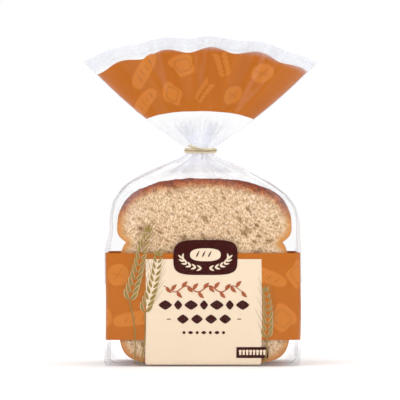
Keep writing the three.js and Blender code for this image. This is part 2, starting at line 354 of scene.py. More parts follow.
def fan_wave(across):
    """The wave that runs across the fan: a cosine whose crests are a little uneven."""
    phase = FULL_TURN * (across - FAN_WAVE_MIDDLE) / FAN_WAVE_WIDTH
    return np.cos(phase + FAN_WAVE_UNEVEN * np.sin(3 * across))


def fan_point(turn, reach):
    """Points of the fan, with reach 0 at the neck and 1 at the hem. Each line leaves the neck under
    an angle that grows across the fan. The side lines are longer than the middle ones. The front
    and back sheets lie half a gap before and behind a waved middle."""
    across = across_fan(turn)
    start = body_point(turn, np.full(np.shape(turn), NECK_BOTTOM))
    angle = across * mix(FAN_SPREAD_LOW, FAN_SPREAD_HIGH, reach) + FAN_LEAN
    edge = 1 - across**6
    length = reach * (FAN_LENGTH + FAN_SIDE_EXTRA * across**2)
    length = length + reach**3 * HEM_WAVE * fan_wave(across) * edge
    side = np.where(turn % FULL_TURN > np.pi, -1.0, 1.0)
    sheet = side * mix(FAN_EDGE_THICKNESS, FAN_THICKNESS, edge) / 2
    sheet = np.where(np.abs(across) > 0.9999, 0, sheet)
    wave = FAN_WAVE_DEPTH * smooth(reach, 0.1, 1.1) * fan_wave(across)
    wave = wave + FAN_SWAY * reach * np.sin(2.1 * across + 0.7)
    return np.stack([
        start[..., 0] + length * np.sin(angle),
        mix(start[..., 1], sheet, smooth(reach, 0, 0.45)) + wave,
        NECK_TOP + length * np.cos(angle)], axis=-1)


def film_point(turn, up):
    """Points of the whole film without its folds: the body, the straight neck, then the fan."""
    low = body_point(turn, np.minimum(up, NECK_BOTTOM))
    low[..., 2] += np.clip(up - NECK_BOTTOM, 0, NECK_TOP - NECK_BOTTOM)
    reach = np.maximum(0, (up - NECK_TOP) / FAN_LENGTH)
    high = fan_point(turn + 0 * up, reach + 0 * turn)
    return np.where((up > NECK_TOP)[..., None], high, low)


def pleat(turn, count, phase=0.0):
    """A row of sharp ridges round the bag, 1 - 2 |sin|, unevenly spaced."""
    uneven = turn + 0.13 * np.sin(3 * turn + 1 + phase) + 0.08 * np.sin(5 * turn + 2.3)
    return 1 - 2 * np.abs(np.sin((count * uneven + phase) / 2))


def fold_depth(turn, up):
    """Depth of the folds that run from the shoulder through the neck into the fan."""
    bag = bpy.context.scene.bread_bag_film
    at_neck = 0.45
    shoulder = bag.shoulder_fold / MM * smooth(up, FOLD_START, FOLD_CREST)
    below = mix(shoulder, at_neck, smooth(up, FOLD_CREST, NECK_BOTTOM))
    reach = np.maximum(0, (up - NECK_TOP) / FAN_LENGTH)
    edge = 1 - np.abs(across_fan(turn)) ** 8
    above = mix(at_neck, bag.fan_fold / MM, smooth(reach, 0, 0.2)) * (1 - smooth(reach, 0.14, 0.42))
    strength = np.where(up <= NECK_TOP, below, above * edge)
    return strength * (0.72 * pleat(turn, FOLD_COUNT) + 0.28 * pleat(turn, 2 * FOLD_COUNT + 3, 1.7))


def crumple_height(turn, up):
    """Fine creases: ridges where smooth noise crosses zero, in two sizes and stretched upwards,
    strongest on the shoulder and weakest over the print and the neck."""
    bag = bpy.context.scene.bread_bag_film
    across = turn / FULL_TURN * CREASE_COUNT
    drift = lattice_noise(across / 2, up / 30, 5, CREASE_COUNT // 2)
    wide = 1 - 2 * np.abs(lattice_noise(across + drift, up / 21 + drift, 11, CREASE_COUNT))
    fine = 1 - 2 * np.abs(lattice_noise(2 * across - drift, up / 9, 12, 2 * CREASE_COUNT))
    shoulder = smooth(up, 84, 112) * (1 - smooth(up, 128, 139))
    reach = (up - NECK_TOP) / FAN_LENGTH
    fan = smooth(reach, 0.08, 0.28) * (1 - 0.82 * smooth(reach, 0.26, 0.4))
    fan = fan * (1 - np.abs(across_fan(turn)) ** 8)
    wall = 0.10 * smooth(up, 1, 12) * (1 - smooth(up, 76, 92))
    strength = bag.crumple / MM * (shoulder + 0.55 * fan + wall)
    return strength * (0.65 * wide + 0.35 * fine)


def film_surface(turn, up, inset=0.0):
    """The folded film. Each point moves along the surface's normal by its folds and creases, and
    inwards by the inset. The normal is the cross product of two small steps on the surface."""
    turn, up = np.broadcast_arrays(np.asarray(turn, float), np.asarray(up, float))
    step = 1e-3
    round_the_bag = film_point(turn + step, up) - film_point(turn - step, up)
    upwards = film_point(turn, up + 10 * step) - film_point(turn, up - 10 * step)
    normal = np.cross(round_the_bag, upwards)
    normal /= np.maximum(np.linalg.norm(normal, axis=-1, keepdims=True), 1e-9)
    depth = fold_depth(turn, up) + crumple_height(turn, up) - inset
    return film_point(turn, up) + depth[..., None] * normal


def film_haze(turn, up):
    """How white the film looks, from 0 to 1. It is whitest at the neck, where many layers lie
    together, and also along the crests of the folds, the fan's side edges, the hem and the corners
    of the base. Along the crossings of creases near the neck and in streaks on the flanks of the
    shoulder, the whiteness is a painted highlight where the creases would catch the light. Over the
    fan's print it is clear."""
    reach = (up - NECK_TOP) / FAN_LENGTH
    over_print = smooth(reach, 0.24, 0.33) * (1 - smooth(reach, 0.86, 0.93))
    clear = 1 - over_print
    gathered = np.where(
        up < NECK_TOP, smooth(up, 127, NECK_BOTTOM) ** 2, 1 - smooth(reach, 0.0, 0.33))
    crest = np.clip(pleat(turn, FOLD_COUNT), 0, 1) ** 3 * smooth(up, 122, FOLD_CREST + 3)
    crest = crest * np.where(up < NECK_TOP, 1, 1 - smooth(reach, 0.2, 0.33))
    across = turn / FULL_TURN * CREASE_COUNT
    shoulder = smooth(up, 122, 134) * (up < NECK_TOP)
    cloud = lattice_noise(across * 0.7, up / 17, 21, 24) * 0.5 + 0.5
    cloud = cloud * (shoulder + clear * (up > NECK_TOP))
    # Painted highlights: the film is whiter along the creases near the neck and in streaks on the
    # shoulder's flanks.
    crease_highlight = np.clip(crumple_height(turn, up) / 0.5, 0, 1) ** 2
    near_neck = smooth(up, 121, 133)
    flank = np.abs(np.cos(turn)) ** 3 * smooth(up, 78, 92) * (1 - near_neck)
    flank_highlight = flank * (0.5 * crease_highlight + 0.03)
    sides = smooth(reach, 0.1, 0.3) * np.abs(across_fan(turn)) ** 30
    hem = smooth(reach, 0.975, 1.0) + 0.9 * smooth(reach, 0.86, 0.93)
    from_middle = np.abs(film_point(turn, up)[..., 0] - body_middle(up))
    corner = smooth(from_middle, 56, 62) * (1 - smooth(up, 9, 17))
    haze = clear * (0.24 * gathered + 0.13 * crest + 0.13 * crease_highlight * near_neck + 0.1 * cloud)
    return np.clip(haze + 0.2 * sides + 0.4 * hem + 0.22 * corner + flank_highlight, 0, 1)


def film_painted_glow(turn, up):
    """How brightly the gathered film glows: a painted glow by emission that stands in for the bright
    surroundings seen through it. It is strongest below the neck, weaker above it, and absent at the
    walls and over the fan's print."""
    reach = (up - NECK_TOP) / FAN_LENGTH
    neck = 0.26 * smooth(up, 116, 132) * (1 - smooth(reach, 0.0, 0.33))
    shoulder = 0.2 * smooth(up, 116, 126) * (1 - smooth(up, 134, NECK_BOTTOM))
    return neck + shoulder + 0 * turn


def grid_quads(rows, columns, wrap_columns=False, wrap_rows=False, start=0):
    """Corner numbers of the four-sided faces of a grid whose points are numbered row by row."""
    row = np.arange(rows if wrap_rows else rows - 1)[:, None]
    column = np.arange(columns if wrap_columns else columns - 1)[None, :]
    next_row, next_column = (row + 1) % rows, (column + 1) % columns
    corners = [
        row * columns + column, row * columns + next_column,
        next_row * columns + next_column, next_row * columns + column]
    return np.stack(np.broadcast_arrays(*corners), axis=-1).reshape(-1, 4) + start


def new_piece(
        name, points, faces, material, values=None, node="bread_bag"):
    """A smooth mesh object from points in millimetres and a list of arrays of faces. It rides on the
    root, stands for the node and keeps each array of values as an attribute of its points."""
    mesh = bpy.data.meshes.new(name)
    rows = chain.from_iterable(array.tolist() for array in faces)
    mesh.from_pydata((np.asarray(points).reshape(-1, 3) * MM).tolist(), [], list(rows))
    mesh.polygons.foreach_set("use_smooth", np.ones(len(mesh.polygons), bool))
    for label, numbers in (values or {}).items():
        attribute = mesh.attributes.new(label, "FLOAT", "POINT")
        attribute.data.foreach_set("value", np.asarray(numbers, np.float32).ravel())
    mesh.update()
    if mesh.validate():
        raise RuntimeError(f"the mesh of {name} has faults")
    mesh.materials.append(material)
    piece = bpy.data.objects.new(name, mesh)
    bpy.context.scene.collection.objects.link(piece)
    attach(piece, "root")
    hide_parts(node)
    return piece


def new_material(name):
    """An empty node material, its node tree and its output node."""
    material = bpy.data.materials.new(name)
    material.use_nodes = True
    tree = material.node_tree
    tree.nodes.clear()
    return material, tree, tree.nodes.new("ShaderNodeOutputMaterial")


def math_node(tree, operation, first, second=None, clamp=False):
    """A Math node on sockets or numbers, and its output."""
    node = tree.nodes.new("ShaderNodeMath")
    node.operation, node.use_clamp = operation, clamp
    for socket, value in zip(node.inputs, (first, second)):
        if isinstance(value, bpy.types.NodeSocket):
            tree.links.new(value, socket)
        elif value is not None:
            socket.default_value = value
    return node.outputs[0]


def mix_colours(tree, share, first, second, blend="MIX"):
    """A colour Mix node on sockets or colours, and its output."""
    node = tree.nodes.new("ShaderNodeMix")
    node.data_type, node.blend_type = "RGBA", blend
    for index, value in ((0, share), (6, first), (7, second)):
        if isinstance(value, bpy.types.NodeSocket):
            tree.links.new(value, node.inputs[index])
        else:
            node.inputs[index].default_value = value if index == 0 else (*value, 1)
    return node.outputs[2]


def ramp_node(tree, factor, stops):
    """A colour ramp on a socket, from pairs of position and colour."""
    node = tree.nodes.new("ShaderNodeValToRGB")
    tree.links.new(factor, node.inputs[0])
    elements = node.color_ramp.elements
    for _ in stops[2:]:
        elements.new(0.5)
    for element, (position, _) in zip(elements, stops):
        element.position = position
    for element, (_, colour) in zip(elements, stops):
        element.color = (*colour, 1)
    return node.outputs[0]


def mix_shaders(tree, share, first, second):
    """A Mix Shader node on a share and two shaders, and its output."""
    node = tree.nodes.new("ShaderNodeMixShader")
    for source, socket in zip((share, first, second), node.inputs):
        tree.links.new(source, socket)
    return node.outputs[0]


def attribute_value(tree, label):
    """The value that a piece's points keep under a label."""
    node = tree.nodes.new("ShaderNodeAttribute")
    node.attribute_name = label
    return node.outputs["Fac"]


def grain_group():
    """The shader node group "Fine grain", made once. It puts out a soft mask and a normal from
    noise in two sizes, for surfaces that aren't quite even."""
    group = bpy.data.node_groups.get("Fine grain")
    if group:
        return group
    group = bpy.data.node_groups.new("Fine grain", "ShaderNodeTree")
    for label, default in (("Scale", 400.0), ("Relief", 0.1), ("Distance", 0.0001)):
        socket = group.interface.new_socket(label, in_out="INPUT", socket_type="NodeSocketFloat")
        socket.default_value = default
    group.interface.new_socket("Mask", in_out="OUTPUT", socket_type="NodeSocketFloat")
    group.interface.new_socket("Normal", in_out="OUTPUT", socket_type="NodeSocketVector")
    inside, outside = group.nodes.new("NodeGroupInput"), group.nodes.new("NodeGroupOutput")
    place = group.nodes.new("ShaderNodeTexCoord")
    large, small = group.nodes.new("ShaderNodeTexNoise"), group.nodes.new("ShaderNodeTexNoise")
    for noise in (large, small):
        group.links.new(place.outputs["Object"], noise.inputs["Vector"])
        noise.inputs["Detail"].default_value = 4
    group.links.new(inside.outputs["Scale"], small.inputs["Scale"])
    quarter = math_node(group, "MULTIPLY", inside.outputs["Scale"], 0.22)
    group.links.new(quarter, large.inputs["Scale"])
    both = math_node(group, "ADD", large.outputs["Fac"], small.outputs["Fac"])
    mask = math_node(group, "MULTIPLY", both, 0.5)
    bump = group.nodes.new("ShaderNodeBump")
    group.links.new(mask, bump.inputs["Height"])
    group.links.new(inside.outputs["Relief"], bump.inputs["Strength"])
    group.links.new(inside.outputs["Distance"], bump.inputs["Distance"])
    group.links.new(mask, outside.inputs["Mask"])
    group.links.new(bump.outputs["Normal"], outside.inputs["Normal"])
    return group


def uneven_surface(tree, output, colour, roughness, spread, grain_nodes):
    """A Principled shader node as the material's surface. Its roughness grows with the grain's mask
    by the spread, and the grain's normal gives it relief."""
    mask, normal = grain_nodes
    shader = tree.nodes.new("ShaderNodeBsdfPrincipled")
    tree.links.new(colour, shader.inputs["Base Color"])
    varied = math_node(tree, "MULTIPLY", mask, spread)
    tree.links.new(math_node(tree, "ADD", varied, roughness), shader.inputs["Roughness"])
    tree.links.new(normal, shader.inputs["Normal"])
    tree.links.new(shader.outputs[0], output.inputs["Surface"])
    return shader


def grain(tree, scale, relief, distance):
    """A "Fine grain" node with its values. Gives its mask and its normal."""
    node = tree.nodes.new("ShaderNodeGroup")
    node.node_tree = grain_group()
    for label, value in (("Scale", scale), ("Relief", relief), ("Distance", distance)):
        node.inputs[label].default_value = value
    return node.outputs["Mask"], node.outputs["Normal"]


def film_material():
    """Clear film. It lets light through, turns whiter with haze and at grazing angles, glows by its
    glow attribute as painted light, and mirrors the lamps by Fresnel's law."""
    bag = bpy.context.scene.bread_bag_film
    material, tree, output = new_material("Clear film")
    mask, normal = grain(tree, 260, 0.35, 0.0004)
    clear = tree.nodes.new("ShaderNodeBsdfTransparent")
    clear.inputs["Color"].default_value = (0.991, 0.991, 0.994, 1)
    white = tree.nodes.new("ShaderNodeBsdfPrincipled")
    white.inputs["Base Color"].default_value = (*bag.film_colour, 1)
    white.inputs["Roughness"].default_value = 0.4
    # Painted glow: emission set by the glow attribute brightens the gathered film at the neck and
    # the shoulder.
    white.inputs["Emission Color"].default_value = (*bag.film_colour, 1)
    tree.links.new(attribute_value(tree, "glow"), white.inputs["Emission Strength"])
    tree.links.new(normal, white.inputs["Normal"])
    edge = tree.nodes.new("ShaderNodeLayerWeight")
    edge.inputs["Blend"].default_value = 0.3
    grazing = math_node(tree, "POWER", edge.outputs["Facing"], 3)
    haze = math_node(tree, "MULTIPLY", attribute_value(tree, "haze"), mask)
    haze = math_node(tree, "MULTIPLY", haze, 2)
    haze = math_node(tree, "ADD", haze, bag.haze)
    haze = math_node(tree, "ADD", haze, math_node(tree, "MULTIPLY", grazing, 0.12), clamp=True)
    body = mix_shaders(tree, haze, clear.outputs[0], white.outputs[0])
    gloss = tree.nodes.new("ShaderNodeBsdfGlossy")
    gloss.inputs["Color"].default_value = (1, 1, 1, 1)
    gloss.inputs["Roughness"].default_value = 0.16
    tree.links.new(normal, gloss.inputs["Normal"])
    fresnel = tree.nodes.new("ShaderNodeFresnel")
    fresnel.inputs["IOR"].default_value = 1.27
    shine = math_node(tree, "MINIMUM", fresnel.outputs[0], bag.shine)
    surface = mix_shaders(tree, shine, body, gloss.outputs[0])
    tree.links.new(surface, output.inputs["Surface"])
    return material


def ink_material(name, colour):
    """Satin ink on film, with a faint unevenness in tone and gloss."""
    material, tree, output = new_material(name)
    fine_grain = grain(tree, 180, 0.12, 0.0002)
    tone = mix_colours(tree, fine_grain[0], [part * 0.93 for part in colour], colour)
    ink = uneven_surface(tree, output, tone, 0.28, 0.3, fine_grain)
    ink.inputs["Specular IOR Level"].default_value = 0.03
    return material


def crumb_tone(tree, place, clouds):
    """The crumb's colour: fine cells stretched along a slant and toned by clouds. Each cell is
    darker in its middle, as painted shade in a fine pore, and the pores are darkened by the pore
    attribute as painted shade.
    """
    loaf = bpy.context.scene.bread_bag_loaf
    tilt = tree.nodes.new("ShaderNodeMapping")
    tilt.inputs["Rotation"].default_value = (0, np.radians(38), 0)
    tilt.inputs["Scale"].default_value = (1, 1, 0.5)
    tree.links.new(place, tilt.inputs["Vector"])
    cells = tree.nodes.new("ShaderNodeTexVoronoi")
    cells.inputs["Scale"].default_value = 1200
    tree.links.new(tilt.outputs[0], cells.inputs["Vector"])
    # Painted shade: each cell is darkest in its middle, as if a fine pore lay in shadow there.
    pale = ramp_node(tree, cells.outputs["Distance"], [
        (0.1, srgb(186, 148, 100)), (0.42, tuple(loaf.crumb_colour)), (0.85, srgb(252, 236, 224))])
    pinkish = mix_colours(tree, clouds, srgb(250, 226, 204), srgb(255, 246, 214))
    toned = mix_colours(tree, 0.75, pale, pinkish, "MULTIPLY")
    # Painted shade in the pores: the pore attribute darkens the crumb towards the pores' colour.
    return mix_colours(tree, attribute_value(tree, "pore"), toned, tuple(loaf.pore_shade_colour))


def around_half(tree, value, spread):
    """A value from 0 to 1 less one half, times the spread."""
    return math_node(tree, "MULTIPLY", math_node(tree, "SUBTRACT", value, 0.5), spread)


def bread_material():
    """Bread. Towards the slice's edge the crumb turns into crust, in a deep brown band with dark
    specks under the dome and a golden one at the sides. Clouds and grain fray both bands."""
    loaf = bpy.context.scene.bread_bag_loaf
    material, tree, output = new_material("Bread")
    mask, normal = grain(tree, 1500, 0.5, 0.0003)
    crumb, crust, side = loaf.crumb_colour, loaf.crust_colour, loaf.side_colour
    place = tree.nodes.new("ShaderNodeTexCoord").outputs["Object"]
    noise = tree.nodes.new("ShaderNodeTexNoise")
    noise.inputs["Scale"].default_value = 90
    noise.inputs["Detail"].default_value = 3
    tree.links.new(place, noise.inputs["Vector"])
    clouds = noise.outputs["Fac"]
    inside = crumb_tone(tree, place, clouds)
    ragged = math_node(tree, "ADD", attribute_value(tree, "edge"), around_half(tree, clouds, 2.4))
    ragged = math_node(tree, "ADD", ragged, around_half(tree, mask, 7.0))
    dome_depth = math_node(tree, "DIVIDE", ragged, DOME_CRUST_DEPTH, clamp=True)
    side_depth = math_node(tree, "DIVIDE", ragged, SIDE_CRUST_DEPTH, clamp=True)
    dome_band = ramp_node(tree, dome_depth, [
        (0.08, crust), (0.28, srgb(158, 68, 14)), (0.48, srgb(184, 98, 32)),
        (0.72, srgb(204, 144, 82)), (1.0, crumb)])
    specks = math_node(tree, "MULTIPLY", math_node(tree, "SUBTRACT", 0.52, mask), 7, clamp=True)
    specks = math_node(tree, "MULTIPLY", specks, 0.8)
    dome_band = mix_colours(tree, specks, dome_band, [part * 0.35 for part in crust])
    side_band = ramp_node(tree, side_depth, [
        (0.0, side), (0.4, srgb(208, 144, 74)), (0.75, srgb(214, 168, 112)), (1.0, crumb)])
    dome = attribute_value(tree, "dome")
    band = mix_colours(tree, dome, side_band, dome_band)
    depth = tree.nodes.new("ShaderNodeMix")
    for index, source in ((0, dome), (2, side_depth), (3, dome_depth)):
        tree.links.new(source, depth.inputs[index])
    share = math_node(tree, "POWER", depth.outputs[0], 2.2)
    baked = mix_colours(tree, share, band, inside)
    uneven_surface(tree, output, baked, 0.6, 0.3, (mask, normal))
    return material


def ribbon_material():
    """Pale gold ribbon, darker over the wire, with a soft metallic shine."""
    tie = bpy.context.scene.bread_bag_tie
    material, tree, output = new_material("Gold ribbon")
    fine_grain = grain(tree, 900, 0.25, 0.0001)
    over_wire = attribute_value(tree, "wire")
    line = mix_colours(tree, over_wire, tuple(tie.colour), tuple(tie.wire_colour))
    shade = mix_colours(tree, fine_grain[0], (0.88, 0.86, 0.82), (1, 1, 1))
    shaded = mix_colours(tree, 1.0, line, shade, "MULTIPLY")
    ribbon = uneven_surface(tree, output, shaded, 0.2, 0.3, fine_grain)
    ribbon.inputs["Metallic"].default_value = 0.15
    return material


def front_turn_table():
    """Distances along the bag's girth from the middle of the front, and their turns. The distance
    is summed over small steps at the height of the band's middle."""
    turns = np.linspace(0.5 * np.pi, 2.5 * np.pi, 4001)
    ring = film_point(turns, np.full(turns.shape, BAND_MIDDLE))
    steps = np.linalg.norm(np.diff(ring, axis=0), axis=1)
    distance = np.concatenate([[0], np.cumsum(steps)])
    middle = np.interp(1.5 * np.pi, turns, distance)
    return distance - middle, turns


def on_body(flat, inset):
    """Places on the walls from flat places (across, up): across is the distance along the girth
    from the neck's line on the front, so half a girth further lies the back."""
    distance, turns = front_turn_table()
    girth = distance[-1] - distance[0]
    across = flat[..., 0] - body_middle(BAND_MIDDLE)
    across = (across - distance[0]) % girth + distance[0]
    return film_surface(np.interp(across, distance, turns), flat[..., 1], inset)


def on_fan(flat, inset):
    """Places on the fan from flat places (across, up): across is the distance along an arc through
    the fan's middle, from the middle of the front sheet, and past a side edge lies the back sheet.
    Up is counted from the neck."""
    share = flat[..., 0] / FAN_HALF_ARC
    turn = 1.5 * np.pi + share * np.pi / 2
    return film_surface(turn % FULL_TURN, NECK_TOP + flat[..., 1], inset)


def turned(patch, place, angle):
    """Flat patches turned by an angle each and moved to their places. The patch's last axis is
    (across, up), and place and angle may hold one entry for each patch."""
    place, angle = np.asarray(place, float), np.asarray(angle, float)[..., None, None]
    across = patch[..., 0] * np.cos(angle) - patch[..., 1] * np.sin(angle)
    up = patch[..., 0] * np.sin(angle) + patch[..., 1] * np.cos(angle)
    return np.stack([across, up], axis=-1) + place[..., None, None, :]


def bar(width, height, pitch=2.0):
    """A rectangle round the origin, as a grid of points about a pitch apart."""
    columns = max(2, int(np.ceil(width / pitch)) + 1)
    rows = max(2, int(np.ceil(height / pitch)) + 1)
    across, up = np.meshgrid(
        np.linspace(-width / 2, width / 2, columns), np.linspace(-height / 2, height / 2, rows))
    return np.stack([across, up], axis=-1)[None]


def disc(half_width, half_height, boxiness=2.0, count=9):
    """A superellipse: the square grid's point (u, v) keeps its direction, and its larger coordinate
    becomes its share of the outline's radius."""
    u, v = square_grid(count)
    angle = np.arctan2(v, u)
    radius = np.maximum(np.abs(u), np.abs(v)) * superellipse(angle, boxiness)
    return np.stack(
        [half_width * radius * np.cos(angle), half_height * radius * np.sin(angle)], axis=-1)[None]


def ring(half_width, half_height, line, boxiness=2.0, count=97):
    """The superellipse's outline as a strip of the given width."""
    angle = np.linspace(0, FULL_TURN, count)[None, :]
    radius = superellipse(angle, boxiness)
    inward = np.linspace(0, line, 3)[:, None]
    return np.stack([
        (half_width - inward) * radius * np.cos(angle),
        (half_height - inward) * radius * np.sin(angle)], axis=-1)[None]


def leaf(length, width, bend=0.0, rows=9, columns=5):
    """A leaf from the origin upwards: its half width is sin(pi s^0.8)^0.9 over its length, and a
    parabola bends its midrib sideways."""
    share = np.linspace(0, 1, rows)[:, None]
    across = np.linspace(-1, 1, columns)[None, :]
    half = width / 2 * np.sin(np.pi * share**0.8) ** 0.9
    return np.stack([
        across * half + bend * length * share * (1 - share) * 4, share * length + 0 * across],
        axis=-1)[None]


def strand(path, width):
    """A strip of constant or changing width along a flat path."""
    path = np.asarray(path, float)
    along = np.gradient(path, axis=0)
    along /= np.linalg.norm(along, axis=1, keepdims=True)
    aside = np.stack([along[:, 1], -along[:, 0]], axis=-1) * np.reshape(width, (-1, 1)) / 2
    return np.stack([path - aside, path, path + aside], axis=1)[None]


def wheat_ear(foot, tip, pairs, grain_length, stem_foot):
    """An ear of wheat: pairs of grains at each side of a slightly bowed stem, each with a larger
    pale copy behind it and a long thin awn, one grain at the tip, and the stem below, bowed by a
    sine. Gives lists of patches for the grains, their pale edges, and the stem with the awns."""
    foot, tip = np.array(foot, float), np.array(tip, float)
    length = np.linalg.norm(tip - foot)
    lean = np.arctan2(-(tip - foot)[0], (tip - foot)[1])
    share = np.linspace(0, 1, pairs)
    bow = 0.035 * length * np.sin(np.pi * share)
    aside = np.array([np.cos(lean), np.sin(lean)])
    places = foot + share[:, None] * (tip - foot) + bow[:, None] * aside
    grains, edges, lines = [], [], []
    for index, place in enumerate(places):
        size = grain_length * (1 - 0.35 * share[index])
        for side in (-1, 1):
            angle = lean - side * (0.54 - 0.12 * share[index])
            shift = place + aside * side * 0.5
            grains.append(turned(leaf(size, size * 0.30, 0.05 * side), [shift], [angle]))
            edges.append(turned(leaf(size * 1.07, size * 0.39, 0.05 * side), [shift], [angle]))
            reach = size * (1.5 + 0.5 * np.sin(3 * index + side))
            start = shift + size * 0.85 * np.array([-np.sin(angle), np.cos(angle)])
            end = start + reach * np.array([-np.sin(angle * 0.8), np.cos(angle * 0.8)])
            steps = np.linspace(0, 1, 8)[:, None]
            lines.append(strand(start + steps * (end - start), np.linspace(0.34, 0.12, 8)))
    grains.append(turned(leaf(grain_length * 0.8, grain_length * 0.3), [places[-1]], [lean]))
    steps = np.linspace(0, 1, 24)[:, None]
    stem_bow = np.array([0.04 * length, 0]) * np.sin(np.pi * steps)
    stem = places[0] + steps * (np.array(stem_foot, float) - places[0]) + stem_bow
    lines.append(strand(stem, np.full(24, 0.9)))
    return grains, edges, lines


def add_print(name, layers, place_on, material):
    """One printed piece from pairs of patches and inset. place_on turns flat places into places on
    the film. Patches that face inwards are turned round. Neighbouring patches lie a hair apart."""
    points, faces, count = [], [], 0
    for patches, inset in layers:
        for index, patch in enumerate(patches):
            for single in patch:
                along, rise = single[0, 1] - single[0, 0], single[1, 0] - single[0, 0]
                middle = single.shape[0] // 2
                if abs(along[0] * rise[1] - along[1] * rise[0]) < 1e-9:
                    along = single[middle, -1] - single[middle, 0]
                    rise = single[min(middle + 1, len(single) - 1), 0] - single[middle - 1, 0]
                if along[0] * rise[1] - along[1] * rise[0] < 0:
                    single = single[:, ::-1]
                placed = place_on(single, inset + PATCH_STEP * (index % 3))
                points.append(placed.reshape(-1, 3))
                faces.append(grid_quads(*single.shape[:2], start=count))
                count += placed.size // 3
    return new_piece(name, np.concatenate(points), faces, material)


def front_and_back(patches):
    """The flat patches, and the same ones half a girth further on, on the back."""
    shifts = (np.zeros(2), np.array([2 * FLAT_HALF_GIRTH, 0]))
    return [patch + shift for shift in shifts for patch in patches]


def loaf_motifs(centres, angles, kinds, scale):
    """Tone-on-tone motifs for the printed fields: a slice of bread, a long loaf with cuts, a round
    bun and a sprig. Gives patches for the motifs and patches for the lines in them."""
    shapes, lines = [], []
    line_width = 0.55
    for centre, angle, kind in zip(centres, angles, kinds):
        if kind == 0:
            block = disc(5.9 * scale, 5.6 * scale, 6, 13) - np.array([0, scale])
            dome = disc(7.3 * scale, 3.5 * scale, 2.6, 13) + np.array([0, 3.4 * scale])
            flat_shapes = [block, dome]
            flat_lines = [ring(4.6 * scale, 4.0 * scale, line_width, 5)]
        elif kind == 1:
            flat_shapes = [disc(13.5 * scale, 3.9 * scale, 2.8, 17)]
            flat_lines = [
                turned(leaf(4.6 * scale, 0.9), [(step * scale, -2.2 * scale)], [-0.5])
                for step in (-7, -2.3, 2.3, 7)]
        elif kind == 2:
            flat_shapes = [disc(6.4 * scale, 6.0 * scale, 2.2)]
            flat_lines = [
                turned(bar(8.2 * scale, line_width), [(0, 0)], [slant]) for slant in (-0.6, 0.6)]
        else:
            flat_shapes = [
                turned(leaf(5.8 * scale, 2.3 * scale),
                       [(side * 0.5, (3 * step - 7) * scale)], [-side * 0.7])
                for step in range(5) for side in (-1, 1)]
            flat_lines = []
        shapes += [turned(shape, [centre], [angle]) for shape in flat_shapes]
        lines += [turned(line, [centre], [angle]) for line in flat_lines]
    return shapes, lines


def panel_gap(across, margin):
    """Whether a distance along the girth lies clear of the front and the back panel."""
    half, centre = (PANEL_RIGHT - PANEL_LEFT) / 2 + margin, (PANEL_RIGHT + PANEL_LEFT) / 2
    from_front = np.abs(across - centre)
    return (from_front > half) & (np.abs(from_front - 2 * FLAT_HALF_GIRTH) > half)


